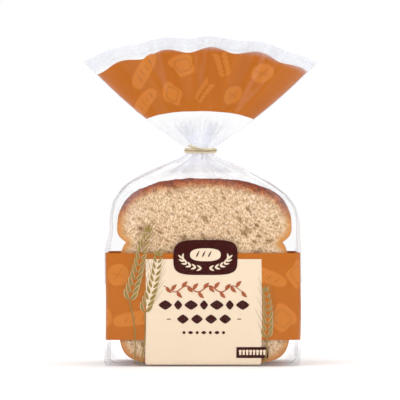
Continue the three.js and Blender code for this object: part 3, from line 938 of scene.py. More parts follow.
class BREADBAG_OT_film(Operator):
    """Lays the clear film round the loaf, from the folded base to the hem of the fan"""

    bl_idname = "breadbag.film"
    bl_label = "Film"

    def execute(self, context):
        """Rows run from the base's middle line out to its edge, then up the film. In the base each
        point lies at a share of the way from the middle line to the first row of the wall."""
        film = film_material()
        columns = FILM_COLUMNS
        turn = turns_round(columns)
        levels = np.concatenate([
            np.linspace(0, BASE_EDGE_RADIUS, 6)[:-1], np.linspace(BASE_EDGE_RADIUS, 84, 50)[:-1],
            np.linspace(84, NECK_BOTTOM, 76)[:-1], np.linspace(NECK_BOTTOM, NECK_TOP, 6)[:-1],
            np.linspace(NECK_TOP, NECK_TOP + FAN_LENGTH, 100)])
        up = levels[:, None]
        wall = film_surface(turn, up)
        wall[..., 2] = np.maximum(wall[..., 2], BASE_FILM_HEIGHT)
        shares = np.linspace(0, 1, 9)[:-1, None, None]
        base = wall[:1] * np.array([1, 0, 1]) + wall[:1] * np.array([0, 1, 0]) * shares
        base[..., 2] = BASE_FILM_HEIGHT
        points = np.concatenate([base, wall])
        haze = film_haze(*np.broadcast_arrays(turn, up))
        haze = np.concatenate([np.full(base.shape[:2], 0.12), haze])
        # The film's painted glow, with none in its base.
        glow = np.concatenate([np.zeros(base.shape[:2]), film_painted_glow(turn, up)])
        quads = grid_quads(len(points), columns, wrap_columns=True)
        flat = points.reshape(-1, 3)
        # The two halves of the base's first row meet on one line, so the back half is left out.
        first = np.arange(columns)
        partner = (columns - first) % columns
        same = np.arange(len(flat))
        same[first] = np.minimum(first, partner)
        quads = same[quads]
        quads = quads[quads[:, 0] != quads[:, 1]]
        used, new_numbers = np.unique(quads, return_inverse=True)
        new_piece(
            "bag_film", flat[used], [new_numbers.reshape(quads.shape)], film,
            {"haze": haze.ravel()[used], "glow": glow.ravel()[used]})
        self.gathers(film)
        self.seal(film, context.scene.bread_bag_film.width / MM)
        return {"FINISHED"}

    def gathers(self, film):
        """The film folded away inside the neck: a narrower tube with deeper, closer pleats that
        opens into the shoulder below and the fan above."""
        rows, columns = 60, 260
        turn, up = turns_round(columns), np.linspace(131, NECK_TOP + 20, rows)[:, None]
        outer = film_surface(turn, up, 1.2)
        middle = film_point(turn, up).mean(axis=1, keepdims=True)
        shrink = 0.52 + 0.16 * pleat(turn, 19, 0.6) + 0.05 * np.sin(2 * turn + up / 9)
        points = middle + (outer - middle) * (shrink + 0 * up)[..., None]
        points[..., 2] = outer[..., 2]
        haze = 0.22 + 0 * (turn + up)
        fade = smooth(up, 131, 139) * (1 - smooth(up, NECK_TOP + 6, NECK_TOP + 20))
        new_piece(
            "bag_gathers", points, [grid_quads(rows, columns, wrap_columns=True)], film,
            {"haze": haze * fade, "glow": film_painted_glow(turn, up)})

    def seal(self, film, width):
        """The sealed fin along the middle of the base, folded flat to one side, with fine ribs
        across it, and the two slanted folds at each end where the gussets meet."""
        half = width / 2 - 5
        middle = LEAN[0][1]
        fin_width, fin_rows, fin_columns = 11, 12, 261
        across, aside = np.meshgrid(
            np.linspace(-half, half, fin_columns), np.linspace(0, fin_width, fin_rows))
        ribs = 0.05 * np.sin(aside * 4)
        points = np.stack([across + middle, aside - fin_width, 0.2 + ribs], axis=-1)
        patches, faces = [points.reshape(-1, 3)], [grid_quads(fin_rows, fin_columns)[:, ::-1]]
        haze = [np.full(points.shape[:2], 0.3).ravel()]
        share, aside = np.meshgrid(np.linspace(0, 1, 24), np.linspace(0, 1.6, 3))
        for side in (-1, 1):
            for slant in (-1, 1):
                x = middle + side * (half - 36 + 34 * share + aside)
                fold = np.stack([x, slant * (4 + 36 * share), 0.22 + 0 * x], axis=-1)
                start = sum(len(patch) for patch in patches)
                order = slice(None, None, -1) if side * slant > 0 else slice(None)
                patches.append(fold.reshape(-1, 3))
                faces.append(grid_quads(*x.shape, start=start)[:, order])
                haze.append(np.full(x.size, 0.35))
        new_piece(
            "bag_seal", np.concatenate(patches), faces, film, {"haze": np.concatenate(haze)})


class BREADBAG_OT_fields(Operator):
    """Prints the orange band round the body and the orange field across the fan"""

    bl_idname = "breadbag.fields"
    bl_label = "Printed fields"

    def execute(self, context):
        """The band is a ring of the film between two heights. On the fan the field's lower edge
        rises with the square of the place across, and its upper edge rises a little to the right
        and follows the fan's wave."""
        ink = context.scene.bread_bag_print
        orange = ink_material("Orange ink", ink.field_colour)
        turn = turns_round(FILM_COLUMNS)
        across = across_fan(turn)
        low = FIELD_LOW + FIELD_LOW_BOW * across**2
        wave = FIELD_HIGH_WAVE * fan_wave(across) * (1 - across**6)
        high = FIELD_HIGH + FIELD_HIGH_RISE * across + wave
        band_share, fan_share = np.linspace(0, 1, 42)[:, None], np.linspace(0, 1, 70)[:, None]
        fields = {
            "print_band": mix(BAND_BOTTOM, BAND_TOP + 0.3, band_share),
            "print_fan": NECK_TOP + FAN_LENGTH * mix(low, high, fan_share),
        }
        for name, up in fields.items():
            points = film_surface(turn, up, FIELD_LAYER)
            new_piece(name, points, [grid_quads(*points.shape[:2], wrap_columns=True)], orange)
        self.motifs(ink)
        return {"FINISHED"}

    def motifs(self, ink):
        """Motifs scattered over both fields, each turned its own way. On either field they stand in
        two rows, the upper one shifted sideways, clear of the panels and of the fan's side edges."""
        rng = np.random.default_rng(3)
        pale = ink_material("Pale orange ink", ink.motif_colour)
        deep = ink_material("Motif line ink", [part * 0.74 for part in ink.motif_colour])
        one_side = np.arange(-FLAT_HALF_GIRTH + 6, FLAT_HALF_GIRTH + 10, 24.3)
        round_the_band = np.concatenate([one_side, one_side + 2 * FLAT_HALF_GIRTH])
        on_band = self.two_rows(round_the_band, BAND_BOTTOM + 14.5, BAND_BOTTOM + 43.5)
        on_band = on_band[panel_gap(on_band[:, 0], 1.0)]
        round_the_fan = np.arange(-48, 3 * FAN_HALF_ARC - 20, 25)
        on_field = self.two_rows(round_the_fan, FAN_LENGTH * 0.5, FAN_LENGTH * 0.75)
        from_edge = (on_field[:, 0] + FAN_HALF_ARC) % (2 * FAN_HALF_ARC)
        on_field = on_field[np.minimum(from_edge, 2 * FAN_HALF_ARC - from_edge) > 9]
        for name, centres, most, first, scale, place_on in (
                ("print_band", on_band, 0.9, 0, 1.2, on_body),
                ("print_fan", on_field, 1.1, 1, 1.05, on_fan)):
            angles = rng.uniform(-most, most, len(centres))
            kinds = (np.arange(len(centres)) * 3 + first) % 4
            shapes, lines = loaf_motifs(centres, angles, kinds, scale)
            add_print(f"{name}_motifs", [(shapes, MOTIF_LAYER)], place_on, pale)
            add_print(f"{name}_lines", [(lines, MOTIF_LAYER - 0.05)], place_on, deep)

    def two_rows(self, across, low, high):
        """Centres in two rows at the heights low and high, the upper one 12 mm further on."""
        rows = [np.stack([across + shift, np.full(len(across), height)], axis=-1)
                for shift, height in ((0, low), (12, high))]
        return np.concatenate(rows)


class BREADBAG_OT_panel(Operator):
    """Prints the cream panels on the front and the back, with their badge and plain ornament"""

    bl_idname = "breadbag.panel"
    bl_label = "Printed panels"

    def execute(self, context):
        """Each shape is a flat patch that is laid on the film, once on the front and once on the
        back."""
        ink = context.scene.bread_bag_print
        cream = ink_material("Cream ink", ink.panel_colour)
        brown = ink_material("Dark brown ink", ink.badge_colour)
        rust = ink_material("Rust ink", ink.script_colour)
        middle = np.array([(PANEL_LEFT + PANEL_RIGHT) / 2, (PANEL_TOP + PANEL_BOTTOM) / 2])
        panel = bar(PANEL_RIGHT - PANEL_LEFT, PANEL_TOP - PANEL_BOTTOM, 1.2) + middle
        badge = disc(*BADGE_HALF_SIZE, BADGE_BOXINESS, 37) + np.array(BADGE_CENTRE)
        plate = bar(*PLATE_SIZE, 1.2) + np.array(PLATE_CENTRE)
        ornament, cuts = self.badge_ornament()
        dark = front_and_back([badge, plate, *self.title_rows()])
        light = front_and_back(ornament + self.plate_row())
        dark_layers = [(dark, SIGN_LAYER), (front_and_back(cuts), CUT_LAYER)]
        add_print("print_panels", [(front_and_back([panel]), PANEL_LAYER)], on_body, cream)
        add_print("print_badge", dark_layers, on_body, brown)
        add_print("print_garland", [(front_and_back(self.garland()), SIGN_LAYER)], on_body, rust)
        add_print("print_light_lines", [(light, TOP_LAYER)], on_body, cream)
        return {"FINISHED"}

    def badge_ornament(self):
        """A loaf over two branches of leaves whose feet lie on a half ellipse. Gives the light
        patches, and the dark cuts in the loaf."""
        centre = np.array(BADGE_CENTRE)
        parts = []
        for side in (-1, 1):
            for step in range(6):
                angle = 0.16 + 0.25 * step
                foot = np.array([side * 15.6 * np.sin(angle), 0.4 - 7.8 * np.cos(angle)])
                ahead = np.arctan2(-side * 15.6 * np.cos(angle), 7.8 * np.sin(angle))
                for lean in (-0.5, 0.5):
                    parts.append(turned(leaf(3.9, 1.3), [foot], [ahead + lean]) + centre)
        loaf_centre = centre + np.array([0, 1.8])
        parts.append(disc(10.2, 4.3, 2.6, 17) + loaf_centre)
        cuts = [
            turned(leaf(5.2, 1.0), [(across, -1.8)], [-0.45]) + loaf_centre
            for across in (-6.2, -2.2, 1.8)]
        return parts, cuts

    def plate_row(self):
        """Eight small slices in a row on the plate, each a block under a wider dome."""
        row = []
        for index in range(8):
            place = np.array(PLATE_CENTRE) + np.array([(index - 3.5) * 2.3, 0])
            row.append(disc(0.72, 1.35, 5, 7) + place - np.array([0, 0.35]))
            row.append(disc(0.95, 0.8, 2.4, 7) + place + np.array([0, 1.0]))
        return row

    def garland(self):
        """A wavy stem, a sine over three and a half waves, with leaves on its two sides in turn."""
        half, waves, leaves = 27.0, 3.5, 15

        def stem(share):
            """The stem's points at shares from -1 to 1 of its half length."""
            rise = GARLAND_SWING * np.sin(share * waves * np.pi)
            return np.stack([TITLE_MIDDLE + half * share, GARLAND_HEIGHT + rise], axis=-1)

        share = np.linspace(-1, 1, 120)
        parts = [strand(stem(share), 0.85 * (1 - 0.6 * np.abs(share) ** 3))]
        for step in range(leaves):
            spot = stem((2 * step + 1) / leaves - 1)
            side = 1 if step % 2 else -1
            blade = leaf(5.6, 2.5, -0.06 * side)
            parts.append(turned(blade, [spot], [-np.pi / 2 + side * 0.85]))
        return parts

    def title_rows(self):
        """A row of wide and narrow lozenges, a row of even ones between two dashes, and a row of
        small ones below them."""
        def lozenges(count, pitch, height, half_widths, half_height, boxiness=1.25, grid=9):
            """A row of lozenges round the title's middle, whose widths take turns."""
            return [
                disc(half_widths[index % len(half_widths)], half_height, boxiness, grid)
                + np.array([TITLE_MIDDLE + (index - (count - 1) / 2) * pitch, height])
                for index in range(count)]

        dashes = [
            bar(2.6, 0.6) + np.array([TITLE_MIDDLE + across, LOWER_ROW])
            for across in (-23.5, 23.5)]
        return [
            *lozenges(7, 8.6, UPPER_ROW, (4.5, 2.7), 3.2),
            *lozenges(4, 9.4, LOWER_ROW, (3.9,), 3.1),
            *dashes,
            *lozenges(7, 4.4, SMALL_ROW, (1.1, 1.7), 1.1, 1.4, 7)]


class BREADBAG_OT_wheat(Operator):
    """Prints ears of wheat beside the panels, reaching up over the clear window"""

    bl_idname = "breadbag.wheat"
    bl_label = "Printed wheat"

    def execute(self, context):
        """Two ears stand left of each panel and one stands right of it."""
        ink = context.scene.bread_bag_print
        olive = ink_material("Wheat ink", ink.leaf_colour)
        pale = ink_material("Pale wheat ink", ink.pale_leaf_colour)
        grains, edges, lines = (
            front_and_back(list(chain.from_iterable(kind)))
            for kind in zip(*(wheat_ear(*ear) for ear in EARS)))
        add_print("print_wheat", [(grains, SIGN_LAYER - 0.04)], on_body, olive)
        add_print("print_wheat_edges", [(edges, SIGN_LAYER + 0.02)], on_body, pale)
        add_print("print_wheat_lines", [(lines, SIGN_LAYER + 0.01)], on_body, olive)
        return {"FINISHED"}


def slice_radius(angle, seed):
    """The slice's outline in polar form round SLICE_MIDDLE. Its half width at each height is the
    larger of a superellipse for the dome and one for the block below. Slow sine waves make each
    slice a little different."""
    loaf = bpy.context.scene.bread_bag_loaf
    tilt = np.linspace(-np.pi / 2, np.pi / 2, 3001)
    height = mix(SLICE_FLOOR, SLICE_TOP, (np.sin(tilt) + 1) / 2)

    def half_width(level, rise, boxiness, width):
        share = np.clip(np.abs(height - level) / rise, 0, 1)
        return width / 2 / MM * (1 - share**boxiness) ** (1 / boxiness)

    above = height > DOME_LEVEL
    dome = half_width(
        DOME_LEVEL, np.where(above, SLICE_TOP - DOME_LEVEL, DOME_FALL), DOME_BOXINESS,
        loaf.dome_width)
    low = height < BLOCK_LEVEL
    block = half_width(
        BLOCK_LEVEL, BLOCK_LEVEL - SLICE_FLOOR,
        np.where(low, BLOCK_BOXINESS_LOW, BLOCK_BOXINESS_HIGH), loaf.block_width)
    wide = np.maximum(dome, block)
    rise = height - SLICE_MIDDLE[1]
    folded = np.arctan2(np.sin(angle), np.abs(np.cos(angle)))
    radius = np.interp(folded, np.arctan2(rise, wide), np.hypot(rise, wide))
    phase = np.random.default_rng(seed).uniform(0, FULL_TURN, 3)
    top = np.clip(np.sin(angle), 0, 1)
    waver = 0.004 * np.sin(2 * angle + phase[0]) + 0.003 * np.sin(5 * angle + phase[1])
    knobs = lattice_noise(folded * 24 + 50, seed + 0 * folded, 71) * 0.3
    knobs = knobs + lattice_noise(folded * 62 + 120, seed + 0 * folded, 72) * 0.22
    return radius * (0.994 + waver + 0.0022 * top * np.sin(17 * angle + phase[2])) + top * knobs


def pore_field(x, z, pitch, stretch, slant, seed, share):
    """Closeness to the nearest pore, 1 at its middle and 0 outside it. Each square of a grid holds
    one pore at a random place with a random size, or none. The grid is turned by the slant and
    stretched, so that the pores are long and lie across the slice."""
    rng = np.random.default_rng(seed)
    size = 256
    offset_x, offset_z, radius, present = rng.uniform(0, 1, (4, size, size))
    along = (x * np.cos(slant) + z * np.sin(slant)) / (pitch * stretch)
    aside = (z * np.cos(slant) - x * np.sin(slant)) / pitch
    column, row = np.floor(along).astype(int), np.floor(aside).astype(int)
    closest = np.zeros(np.shape(x))
    for step_x in (-1, 0, 1):
        for step_z in (-1, 0, 1):
            i, j = (column + step_x) % size, (row + step_z) % size
            from_x = along - (column + step_x + 0.2 + 0.6 * offset_x[i, j])
            from_z = aside - (row + step_z + 0.2 + 0.6 * offset_z[i, j])
            reach = 0.22 + 0.38 * radius[i, j] ** 2
            near = 1 - np.hypot(from_x, from_z) / reach
            near = np.where(present[i, j] < share, np.clip(near, 0, 1), 0)
            closest = np.maximum(closest, near)
    return closest


def crumb_pores(x, z, seed):
    """Depth of the open crumb in millimetres, and how dark each pore looks as painted shade in its
    hole, from three sizes of pores. Slow noise bends their rows."""
    bent_x = x + 5 * lattice_noise(x / 30 + 40, z / 30 + 40, seed)
    bent_z = z + 5 * lattice_noise(x / 30 + 90, z / 30 + 90, seed + 1)
    large = pore_field(bent_x, bent_z, 4.6, 1.9, -0.75, seed + 2, 0.28)
    middle = pore_field(bent_x, bent_z, 2.2, 1.8, -0.6, seed + 3, 0.8)
    small = pore_field(bent_x, bent_z, 1.25, 1.6, -0.9, seed + 4, 0.95)
    depth = 1.0 * np.sqrt(large) + 0.55 * np.sqrt(middle) + 0.25 * np.sqrt(small)
    # Painted shade: how dark each pore is painted, as if its hole lay in shadow.
    dark = 0.7 * smooth(large, 0.0, 0.6) + 0.62 * smooth(middle, 0.0, 0.7) + 0.55 * small
    return depth, np.clip(dark, 0, 1)


def outline_distance(x, z, outline):
    """Each point's distance to the slice's outline, the least over the outline's own points."""
    nearest = np.full(x.size, np.inf)
    flat = np.stack([x.ravel(), z.ravel()], axis=-1)
    for part in np.array_split(outline, 24):
        gap = flat[:, None, :] - part[None]
        nearest = np.minimum(nearest, np.sqrt((gap**2).sum(axis=-1)).min(axis=1))
    return nearest.reshape(x.shape)


def cut_face(cells, y, outward, seed, inset):
    """One cut face. A square grid's point (u, v) keeps its direction from the middle, and its larger
    coordinate becomes its share of the outline's radius. Pores sink into the slice. Gives the
    points, their values, the faces and the numbers of the points along the edge, in order."""
    u, v = square_grid(cells + 1)
    share = np.maximum(np.abs(u), np.abs(v))
    angle = np.arctan2(v, u)
    radius = slice_radius(angle, seed) - inset
    x = SLICE_MIDDLE[0] + share * radius * np.cos(angle)
    z = SLICE_MIDDLE[1] + share * radius * np.sin(angle)
    round_turn = np.linspace(0, FULL_TURN, 480, endpoint=False)
    edge_radius = slice_radius(round_turn, seed)
    outline = np.stack([
        SLICE_MIDDLE[0] + edge_radius * np.cos(round_turn),
        SLICE_MIDDLE[1] + edge_radius * np.sin(round_turn)], axis=-1)
    distance = np.minimum(outline_distance(x, z, outline), 20)
    depth, dark = crumb_pores(x, z, seed * 7 + (1 if outward < 0 else 4))
    inside = smooth(distance, 0.6, 3.5)
    rough = 0.12 * lattice_noise(x * 1.6, z * 1.6, seed + 31)
    points = np.stack([x, y - outward * (depth + rough) * inside, z], axis=-1)
    edge = border(np.arange(x.size).reshape(x.shape))
    quads = grid_quads(*x.shape)
    # The pore value carries the painted shade in the pores.
    values = {"edge": distance, "dome": dome_share(x, z), "pore": dark * inside}
    return points.reshape(-1, 3), values, [quads if outward < 0 else quads[:, ::-1]], edge


def dome_share(x, z):
    """How strongly a place was baked: 1 on the dome, 0 on the sides below the overhang, and a
    third at the base."""
    low = 94 + 0.0016 * (x - SLICE_MIDDLE[0]) ** 2
    return smooth(z, low - 8, low + 12) + 0.33 * (1 - smooth(z, 6, 26))


def ring_quads(rows):
    """Four-sided faces between rows of point numbers, where each row closes into a ring."""
    ahead = np.roll(rows, -1, axis=1)
    return np.stack([rows[:-1], rows[1:], ahead[1:], ahead[:-1]], axis=-1).reshape(-1, 4)


def plain_face(rim_row, y, outward):
    """A hidden face: the rim's last row, drawn in a little, shrinks towards its middle in a few
    steps and ends in one point. Gives what cut_face gives."""
    count = len(rim_row)
    flat = rim_row * np.array([1, 0, 1]) + np.array([0, y, 0])
    middle = flat.mean(axis=0)
    shares = np.array([1.0, 0.97, 0.85, 0.6, 0.3])
    rings = middle + 0.996 * shares[:, None, None] * (flat - middle)
    points = np.concatenate([rings.reshape(-1, 3), middle[None]])
    numbers = np.arange(len(shares) * count).reshape(-1, count)
    tip = np.stack([numbers[-1], np.full(count, numbers.size), np.roll(numbers[-1], -1)], axis=-1)
    faces = [ring_quads(numbers), tip]
    if outward < 0:
        faces = [corners[:, ::-1] for corners in faces]
    share = np.append(np.repeat(shares, count), 0.0)
    values = {
        "edge": 0.5 + 55 * (1 - share),
        "dome": dome_share(points[:, 0], points[:, 2]),
        # A faint painted shade of pores on the hidden faces.
        "pore": 0.2 * (share < 1)}
    return points, values, faces, numbers[0]


def slice_rim(angle, y, thickness, seed):
    """Rows of points along a slice's outline, from one cut face to the other: rounded at both edges,
    and with the crust's fine relief, noise of two sizes that fades out at the edges."""
    profile = np.array([
        (0.26, 0.06), (0.07, 0.22), (0.0, SLICE_EDGE), (0.0, 2.2), (0.0, 4.4), (0.0, 6.2),
        (0.0, 8.0), (0.0, thickness - 2.2), (0.0, thickness - SLICE_EDGE),
        (0.07, thickness - 0.22), (0.26, thickness - 0.06)])
    inward, along = profile[:, :1], profile[:, 1:]
    relief = 0.28 * lattice_noise(angle * 16 + 60, along / 2.0 + 3, seed + 9)
    relief = relief + 0.14 * lattice_noise(angle * 45 + 200, along + 3, seed + 10)
    fade = smooth(along, 0, 1.2) * (1 - smooth(along, thickness - 1.2, thickness))
    radius = slice_radius(angle, seed) - inward + (relief - 0.25) * fade
    return np.stack([
        SLICE_MIDDLE[0] + radius * np.cos(angle), y + along + 0 * angle,
        SLICE_MIDDLE[1] + radius * np.sin(angle)], axis=-1)


class BREADBAG_OT_loaf(Operator):
    """Bakes the slices of the loaf and stands them in the bag"""

    bl_idname = "breadbag.loaf"
    bl_label = "Sliced loaf"

    def execute(self, context):
        """Slice after slice from the front to the back. Only the outermost faces show, so only they
        get the fine crumb."""
        loaf = context.scene.bread_bag_loaf
        bread = bread_material()
        thickness = loaf.thickness / MM
        pitch = (loaf.thickness + loaf.gap) / MM
        first = -(loaf.slices * pitch - loaf.gap / MM) / 2
        for index in range(loaf.slices):
            front = 250 if index == 0 else 0
            back = 200 if index == loaf.slices - 1 else 0
            self.slice(index, first + index * pitch, thickness, front, back, bread)
        return {"FINISHED"}

    def slice(self, index, y, thickness, front, back, bread):
        """One closed slice: its front face, its back face and the rim between them. A face that is
        given a number of cells gets the fine crumb, and any other is plain."""
        seed = 40 + index
        cells = front or back or 72
        u, v = square_grid(cells + 1)
        angle = np.arctan2(border(v), border(u))[None, :]
        rim = slice_rim(angle, y, thickness, seed)
        faces, edges, parts, total = [], [], [], 0
        for detail, place, outward, row in (
                (front, y, -1, rim[0]), (back, y + thickness, 1, rim[-1])):
            if detail:
                points, values, corners, edge = cut_face(cells, place, outward, seed, 0.5)
            else:
                points, values, corners, edge = plain_face(row, place, outward)
            parts.append({"points": points, **values})
            faces += [numbers + total for numbers in corners]
            edges.append(edge + total)
            total += len(points)
        rows = np.arange(rim[..., 0].size).reshape(len(rim), -1) + total
        faces.append(ring_quads(np.concatenate([edges[0][None], rows, edges[1][None]])))
        parts.append({
            "points": rim.reshape(-1, 3),
            "edge": np.full(rows.size, 0.15),
            "dome": dome_share(rim[..., 0], rim[..., 2]),
            "pore": np.zeros(rows.size)})
        points = np.concatenate([part["points"] for part in parts])
        values = {
            label: np.concatenate([part[label].ravel() for part in parts])
            for label in ("edge", "dome", "pore")}
        new_piece(f"bread_slice_{index + 1}", points, faces, bread, values)


def ribbon_profile(height, thickness, wire):
    """A closed flat section whose outer side swells over the wire: places (out, up), and 1 where
    the wire lies under the surface."""
    up = np.linspace(-height / 2, height / 2, 15)
    swell = np.sqrt(np.clip(1 - (up / (wire * 0.8)) ** 2, 0, 1)) * wire * 0.34
    outer = np.stack([thickness + swell, up], axis=-1)
    inner = np.stack([0 * up[1:-1:3], up[1:-1:3]], axis=-1)[::-1]
    profile = np.concatenate([outer, inner])
    over_wire = np.concatenate([np.abs(up) < wire * 0.5, np.zeros(len(inner), bool)])
    return profile, over_wire.astype(float)


def sweep(path, out, up, profile, closed):
    """Carries a closed profile along a path: point + out times its first number + up times its
    second. The ends of an open path are closed by a point in their middle."""
    points = (path[:, None, :] + out[:, None, :] * profile[None, :, :1]
              + up[:, None, :] * profile[None, :, 1:])
    steps, corners = points.shape[:2]
    quads = grid_quads(steps, corners, wrap_columns=True, wrap_rows=closed)
    flat = points.reshape(-1, 3)
    if closed:
        return flat, [quads]
    first, last = np.arange(corners), (steps - 1) * corners + np.arange(corners)
    tips = np.stack([points[0].mean(axis=0), points[-1].mean(axis=0)])
    start = np.full(corners, len(flat))
    caps = [np.stack([start, np.roll(first, -1), first], axis=-1),
            np.stack([start + 1, last, np.roll(last, -1)], axis=-1)]
    return np.concatenate([flat, tips]), [quads, *caps]


class BREADBAG_OT_tie(Operator):
    """Winds the twist tie round the neck, with one end across its front and a twisted tail behind"""

    bl_idname = "breadbag.tie"
    bl_label = "Twist tie"

    def execute(self, context):
        """Three pieces: the loop round the neck, the end that crosses its front, and the two
        strands twisted together behind it."""
        tie = context.scene.bread_bag_tie
        height, thickness, wire = (
            value / MM for value in (tie.ribbon_height, tie.ribbon_thickness, tie.wire))
        profile, over_wire = ribbon_profile(height, thickness, wire)
        middle = (NECK_BOTTOM + NECK_TOP) / 2
        inner = tie.clearance / MM
        ribbon = ribbon_material()
        for name, parts in (
                ("tie_loop", self.loop(profile, middle, inner)),
                ("tie_crossing", self.crossing(middle, inner + thickness, wire)),
                ("tie_tail", self.tail(middle, inner, wire))):
            self.add(name, parts, over_wire, ribbon)
        return {"FINISHED"}

    def add(self, name, parts, over_wire, ribbon):
        """One piece of ribbon from swept parts, with the wire's line as an attribute."""
        points, faces, line, start = [], [], [], 0
        for part_points, part_faces in parts:
            rows = len(part_points) // len(over_wire)
            line.append(np.tile(over_wire, rows))
            line.append(np.zeros(len(part_points) - rows * len(over_wire)))
            points.append(part_points)
            faces += [face + start for face in part_faces]
            start += len(part_points)
        new_piece(
            name, np.concatenate(points), faces, ribbon, {"wire": np.concatenate(line)},
            "twist_tie")

    def loop(self, profile, middle, inner):
        """The loop: an ellipse round the neck, with slight waves where the film pushes it."""
        turn = turns_round(200)[0]
        push = 0.12 * np.sin(7 * turn + 0.4) + 0.08 * np.sin(12 * turn)
        path = np.stack([
            (NECK_HALF_WIDTH + inner + push) * np.cos(turn),
            (NECK_HALF_DEPTH + inner + push) * np.sin(turn),
            middle + 0.18 * np.sin(2 * turn + 1)], axis=-1)
        out = np.stack([np.cos(turn), np.sin(turn), 0 * turn], axis=-1)
        up = np.tile([0.0, 0.0, 1.0], (len(turn), 1))
        return [sweep(path, out, up, profile, True)]

    def crossing(self, middle, front, wire):
        """The free end: it leaves the loop's front near the middle and rises to the left. Its edge
        is seen, so it is narrow."""
        profile, _ = ribbon_profile(1.5, 0.3, wire * 0.6)
        share = np.linspace(0, 1, 40)
        x = mix(3.4, -8.3, share)
        rise = middle + 0.4 + 3.1 * share**1.4
        front_y = -(NECK_HALF_DEPTH + front) * np.sqrt(np.clip(1 - (x / 12.2) ** 2, 0, 1))
        path = np.stack([x, front_y - 0.45, rise], axis=-1)
        out = np.tile([0.0, -1.0, 0.0], (len(share), 1))
        along = np.gradient(path, axis=0)
        up = np.cross(out, along)
        up /= np.linalg.norm(up, axis=1, keepdims=True)
        return [sweep(path, out, up, profile, False)]

    def tail(self, middle, inner, wire):
        """Two strands in a helix of a little over two and a half turns that droops towards the back,
        and then part at their ends."""
        profile, _ = ribbon_profile(1.9, 0.34, wire * 0.6)
        share = np.linspace(0, 1, 110)
        back = NECK_HALF_DEPTH + inner + 1.3
        spine = np.stack([
            1.2 * share + share**2, back + 14.2 * share, middle + 1.6 * share - 6.4 * share**2],
            axis=-1)
        along = np.gradient(spine, axis=0)
        along /= np.linalg.norm(along, axis=1, keepdims=True)
        level = np.cross(along, [0.0, 0.0, 1.0])
        level /= np.linalg.norm(level, axis=1, keepdims=True)
        rise = np.cross(level, along)
        parts = []
        for strand_number in range(2):
            angle = 3.2 * FULL_TURN * np.minimum(share, 0.82) + strand_number * np.pi
            apart = 0.62 + 1.5 * smooth(share, 0.8, 1.0)
            out = level * np.cos(angle)[:, None] + rise * np.sin(angle)[:, None]
            up = rise * np.cos(angle)[:, None] - level * np.sin(angle)[:, None]
            parts.append(sweep(spine + out * apart[:, None] * 0.55, out, up, profile, False))
        return parts


